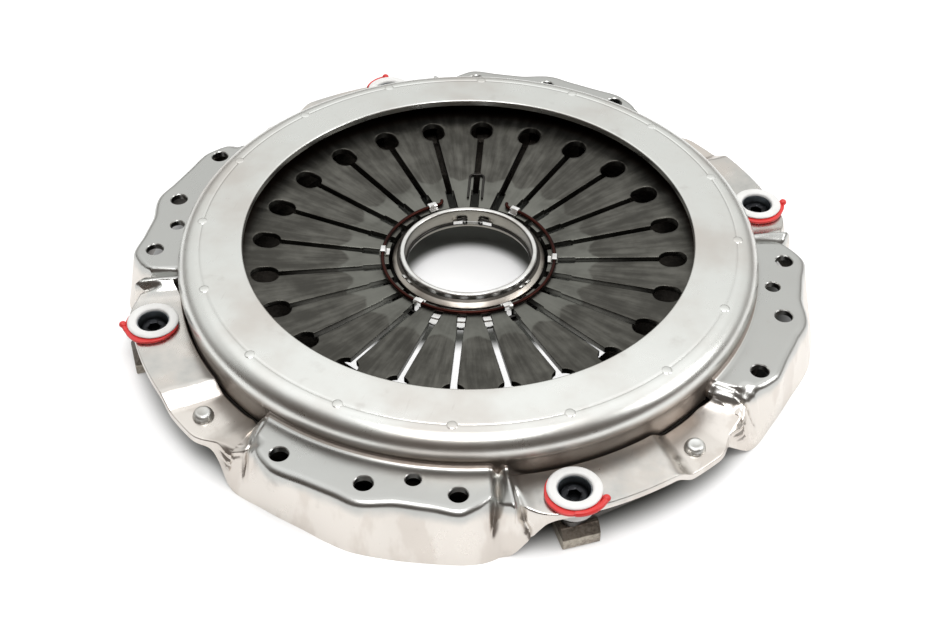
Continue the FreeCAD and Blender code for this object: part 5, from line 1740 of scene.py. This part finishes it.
@dataclass
class LeafPacks:
    """Packs of three leaves from each lug bolt to its ear rivet."""

    leaves: int = 3
    gauge: float = 1.3
    play: float = 0.025
    low_z: float = 15.325
    half_width: float = 12.0
    end: float = 11.5
    corner: float = 6.0

    def pack(self, length: float) -> Surface:
        """Leaves along +X from the bolt at the origin: strips whose ends close in a quarter round."""
        steps = np.linspace(0, math.pi / 2, 7)
        start = -self.end + self.corner * (1 - np.cos(steps))
        middle = np.linspace(-self.end + self.corner, length + self.end - self.corner, 34)[1:-1]
        x = np.concatenate([start, middle, length - start[::-1]])
        into = np.clip(np.minimum(x + self.end, length + self.end - x) / self.corner, 0, 1)
        half = self.half_width - self.corner + self.corner * np.sqrt(1 - (1 - into) ** 2)
        t = np.linspace(-1, 1, 6)
        y = np.hstack([half[:, None] * t, half[:, None] * t[::-1]])
        parts = []
        for i in range(self.leaves):
            low = self.low_z + i * (self.gauge + self.play)
            z = np.concatenate([np.full(6, low + self.gauge), np.full(6, low)])
            points = [np.broadcast_to(x[:, None], y.shape), y, np.broadcast_to(z, y.shape)]
            parts.append(Surface.tube(np.stack(points, -1)))
        return Surface.joined(parts)

    def build(self, finishes: Finishes) -> list[bpy.types.Object]:
        """Makes the four packs, each between the rivet on the cover and the bolt on the plate."""
        lay = LAYOUT
        made = []
        for i in range(lay.quarters):
            bolt = lay.place(lay.sleeve_circle_r, lay.sleeve_turn + 90.0 * i, 0.0)
            rivet = lay.place(lay.bolt_circle_r, lay.rivet_turn + 90.0 * i, 0.0)
            along = rivet - bolt
            turn = math.degrees(math.atan2(along[1], along[0]))
            shape = self.pack(float(np.linalg.norm(along))).turned(turn).moved(bolt)
            name = f"leaf_pack_{i + 1}"
            obj = add_piece(name, shape.mesh(name), finishes.leaf, Slot.LEAF)
            unit = along / np.linalg.norm(along) * self.end
            tuple((rivet - unit) * MM)
            tuple((bolt + unit) * MM)
            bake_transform(obj)
            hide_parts(f"leaf_spring_{i + 1}")
            report(obj, "cover and pressure plate")
            made.append(obj)
        return made


@dataclass
class Studio:
    """White floor and background, soft lamps and the photograph's camera.

    The floor is white and glows for the camera, reflections and clear parts round the assembly. Under the
    assembly it carries a painted shadow, dark but for painted light, which also glows, in a spot under the
    bore of the release sleeve and where the front slots show it. back_room and front_room: colour of the room
    by height, behind the assembly and on the camera's side. lamps: (name, place, size, watts).
    """

    floor_size: float = 6.0
    lens: float = 57.49
    sensor: float = 36.0
    azimuth: float = 16.16
    elevation: float = 42.43
    roll: float = 0.32
    eye: tuple[float, float, float] = (0.23565, -0.79576, 0.73893)
    floor_lift: float = 0.34
    # Radius and edge of the painted shadow disc under the assembly.
    shadow_disc_r: float = 0.25
    shadow_disc_edge: float = 0.03
    # Painted pool of light on the floor under the bore of the release sleeve: radius, edge and shift.
    light_spot_r: float = 0.047
    light_spot_edge: float = 0.006
    light_spot_shift: float = 0.011
    # Painted light on the floor where the front slots show it: place, radii and glow.
    slot_light_at: tuple[float, float] = (-0.045, -0.060)
    slot_light_r: tuple[float, float] = (0.180, 0.165)
    slot_light_lift: float = 0.5
    # Painted shadow colour of the floor under the assembly.
    painted_shadow_floor: Colour = (0.17, 0.175, 0.16)
    white_floor: Colour = (0.80, 0.80, 0.80)
    room_strength: float = 1.53
    back_room: tuple[tuple[float, Colour], ...] = (
        (0.0, (0.16, 0.15, 0.14)), (0.17, (0.25, 0.24, 0.23)), (0.36, (0.53, 0.53, 0.52)),
        (0.47, (0.70, 0.70, 0.69)), (0.56, (0.64, 0.64, 0.63)), (0.64, (0.56, 0.56, 0.55)),
        (0.74, (0.84, 0.84, 0.83)), (0.82, (1.0, 1.0, 1.0)), (0.90, (0.92, 0.92, 0.92)),
        (1.0, (0.64, 0.64, 0.64)),
    )
    front_room: tuple[tuple[float, Colour], ...] = (
        (0.0, (0.060, 0.046, 0.038)), (0.5, (0.066, 0.054, 0.046)), (0.76, (0.14, 0.125, 0.115)),
        (0.90, (0.45, 0.44, 0.43)), (1.0, (0.70, 0.70, 0.70)),
    )
    lamps: tuple[tuple[str, tuple[float, float, float], float, float], ...] = (
        ("soft_box_top", (0.195, -0.67, 1.85), 1.0, 17.0), ("soft_box_right", (1.6, 0.2, 1.2), 0.8, 9.0),
    )

    def camera(self) -> None:
        """Camera at the photograph's place, from its azimuth, elevation and roll."""
        e, a, k = (math.radians(v) for v in (self.elevation, self.azimuth, self.roll))
        back = np.array([math.sin(a) * math.cos(e), -math.cos(a) * math.cos(e), math.sin(e)])
        right = np.array([math.cos(a), math.sin(a), 0.0])
        up = np.cross(back, right)
        x = math.cos(k) * right + math.sin(k) * up
        y = -math.sin(k) * right + math.cos(k) * up
        data = bpy.data.cameras.new("photo_camera")
        data.lens = self.lens
        data.sensor_width = self.sensor
        data.sensor_fit = "HORIZONTAL"
        data.clip_end = 50.0
        obj = bpy.data.objects.new("photo_camera", data)
        matrix = np.eye(4)
        matrix[:3, 0], matrix[:3, 1], matrix[:3, 2], matrix[:3, 3] = x, y, back, self.eye
        obj.matrix_world = Matrix(matrix.tolist())
        bpy.context.scene.collection.objects.link(obj)
        bpy.context.scene.camera = obj

    def floor(self) -> None:
        """White floor that glows round the assembly, with a painted shadow under it and painted light in a
        spot under the bore and where the front slots show it.
        """
        half = self.floor_size / 2
        line = np.linspace(-half, half, 3) / MM
        x, y = np.meshgrid(line, line)
        mesh = Surface.grid(np.stack([x, y, np.full_like(x, -0.02)], -1)).mesh("floor")
        s = Shader("floor_white", roughness=0.9, specular_ior_level=0.1)
        camera, glossy, clear = (s.node("ShaderNodeLightPath", output=name)
                                 for name in ("Is Camera Ray", "Is Glossy Ray", "Is Transmission Ray"))
        s.bsdf.inputs["Emission Color"].default_value = (1.0, 1.0, 1.0, 1.0)
        x, y, _ = s.split(s.place())
        a = math.radians(self.azimuth)
        dx, dy = x + self.light_spot_shift * math.sin(a), y - self.light_spot_shift * math.cos(a)
        r, edge = s.radius(), self.light_spot_edge
        around = s.between(r, self.shadow_disc_r - self.shadow_disc_edge, self.shadow_disc_r)
        # Painted pool of light under the bore.
        painted_light_spot = s.between((dx * dx + dy * dy) ** 0.5, self.light_spot_r + edge, self.light_spot_r - edge)
        away = y * math.cos(a) - x * math.sin(a)
        # Painted light where the front slots show the floor.
        slots = s.between(away, *self.slot_light_at) * s.between(r, *self.slot_light_r)
        lift = s.node("ShaderNodeMath", {"operation": "MAXIMUM"}, {0: around, 1: painted_light_spot})
        lift = s.node("ShaderNodeMath", {"operation": "MAXIMUM"}, {0: lift, 1: slots})
        # Painted shadow under the assembly, lifted to white in the painted light spot and slots.
        s.feed("Base Color", s.mix(lift, self.painted_shadow_floor, self.white_floor))
        # Glow: even white round the assembly, and painted light in the spot and the slots.
        lift = lift * self.floor_lift + slots * (1.0 - around) * self.slot_light_lift
        seen = camera + glossy + clear
        s.tree.links.new((seen * lift).socket, s.bsdf.inputs["Emission Strength"])
        obj = bpy.data.objects.new("floor", mesh)
        bpy.context.scene.collection.objects.link(obj)
        mesh.materials.append(s.material)

    def world(self) -> None:
        """White to the camera; for light, a room pale above and behind, dark brown on the camera's side."""
        world = bpy.data.worlds.new("studio")
        world.use_nodes = True
        bpy.context.scene.world = world
        g = Graph(world.node_tree)
        x, y, z = g.split(g.node("ShaderNodeTexCoord", output="Generated"))
        a = math.radians(self.azimuth)
        away = y * math.cos(a) - x * math.sin(a)
        behind = g.node("ShaderNodeValToRGB", {"stops": self.back_room}, {0: z})
        before = g.node("ShaderNodeValToRGB", {"stops": self.front_room}, {0: z})
        room = g.mix(g.between(away, -0.30, 0.35), before, behind)
        lit = g.node("ShaderNodeVectorMath", {"operation": "SCALE"}, {0: room, "Scale": self.room_strength})
        camera = g.node("ShaderNodeLightPath", output="Is Camera Ray")
        white = (1.0, 1.0, 1.0)
        shown = g.node("ShaderNodeMix", {"data_type": "RGBA"}, {0: camera, 6: lit, 7: white}, output=2)
        back = world.node_tree.nodes["Background"]
        world.node_tree.links.new(shown.socket, back.inputs["Color"])
        back.inputs["Strength"].default_value = 1.0

    def lamp(self, name: str, place: tuple[float, float, float], size: float, watts: float) -> None:
        """Square soft box that points at the object."""
        data = bpy.data.lights.new(name, "AREA")
        data.shape = "SQUARE"
        data.size = size
        data.energy = watts
        obj = bpy.data.objects.new(name, data)
        here = np.array(place)
        back = here / np.linalg.norm(here)
        right = np.cross([0.0, 0.0, 1.0], back) if abs(back[2]) < 0.99 else np.array([1.0, 0.0, 0.0])
        right = right / np.linalg.norm(right)
        matrix = np.eye(4)
        matrix[:3, 0], matrix[:3, 1], matrix[:3, 2], matrix[:3, 3] = right, np.cross(back, right), back, here
        obj.matrix_world = Matrix(matrix.tolist())
        bpy.context.scene.collection.objects.link(obj)

    def build(self) -> None:
        """Sets up the whole studio."""
        self.camera()
        self.floor()
        self.world()
        for name, place, size, watts in self.lamps:
            self.lamp(name, place, size, watts)
        bpy.context.scene.view_settings.view_transform = "Standard"


def dress_cad(finishes: Finishes) -> None:
    """Gives every CAD node the finish of its record slot."""
    by_slot = finishes.by_slot()
    slots = {s["node"]: s["material_slot"] for s in frame["record"]["subparts"]}
    for name, obj in frame["nodes"].items():
        obj.data.materials.clear()
        obj.data.materials.append(by_slot[slots[name]])


def main() -> None:
    """Builds the assembly and the studio."""
    logging.basicConfig(level=logging.INFO, format="%(message)s")
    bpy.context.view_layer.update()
    finishes = Finishes()
    dress_cad(finishes)
    CoverDrum().build(finishes)
    CoverFlange().build(finishes)
    SpringFingers().build(finishes)
    ReleaseGroup().build(finishes)
    TransportSleeves().build(finishes)
    EarRivets().build(finishes)
    PlateGroup().build(finishes)
    LeafPacks().build(finishes)
    Studio().build()


if __name__ == "__main__":
    main()
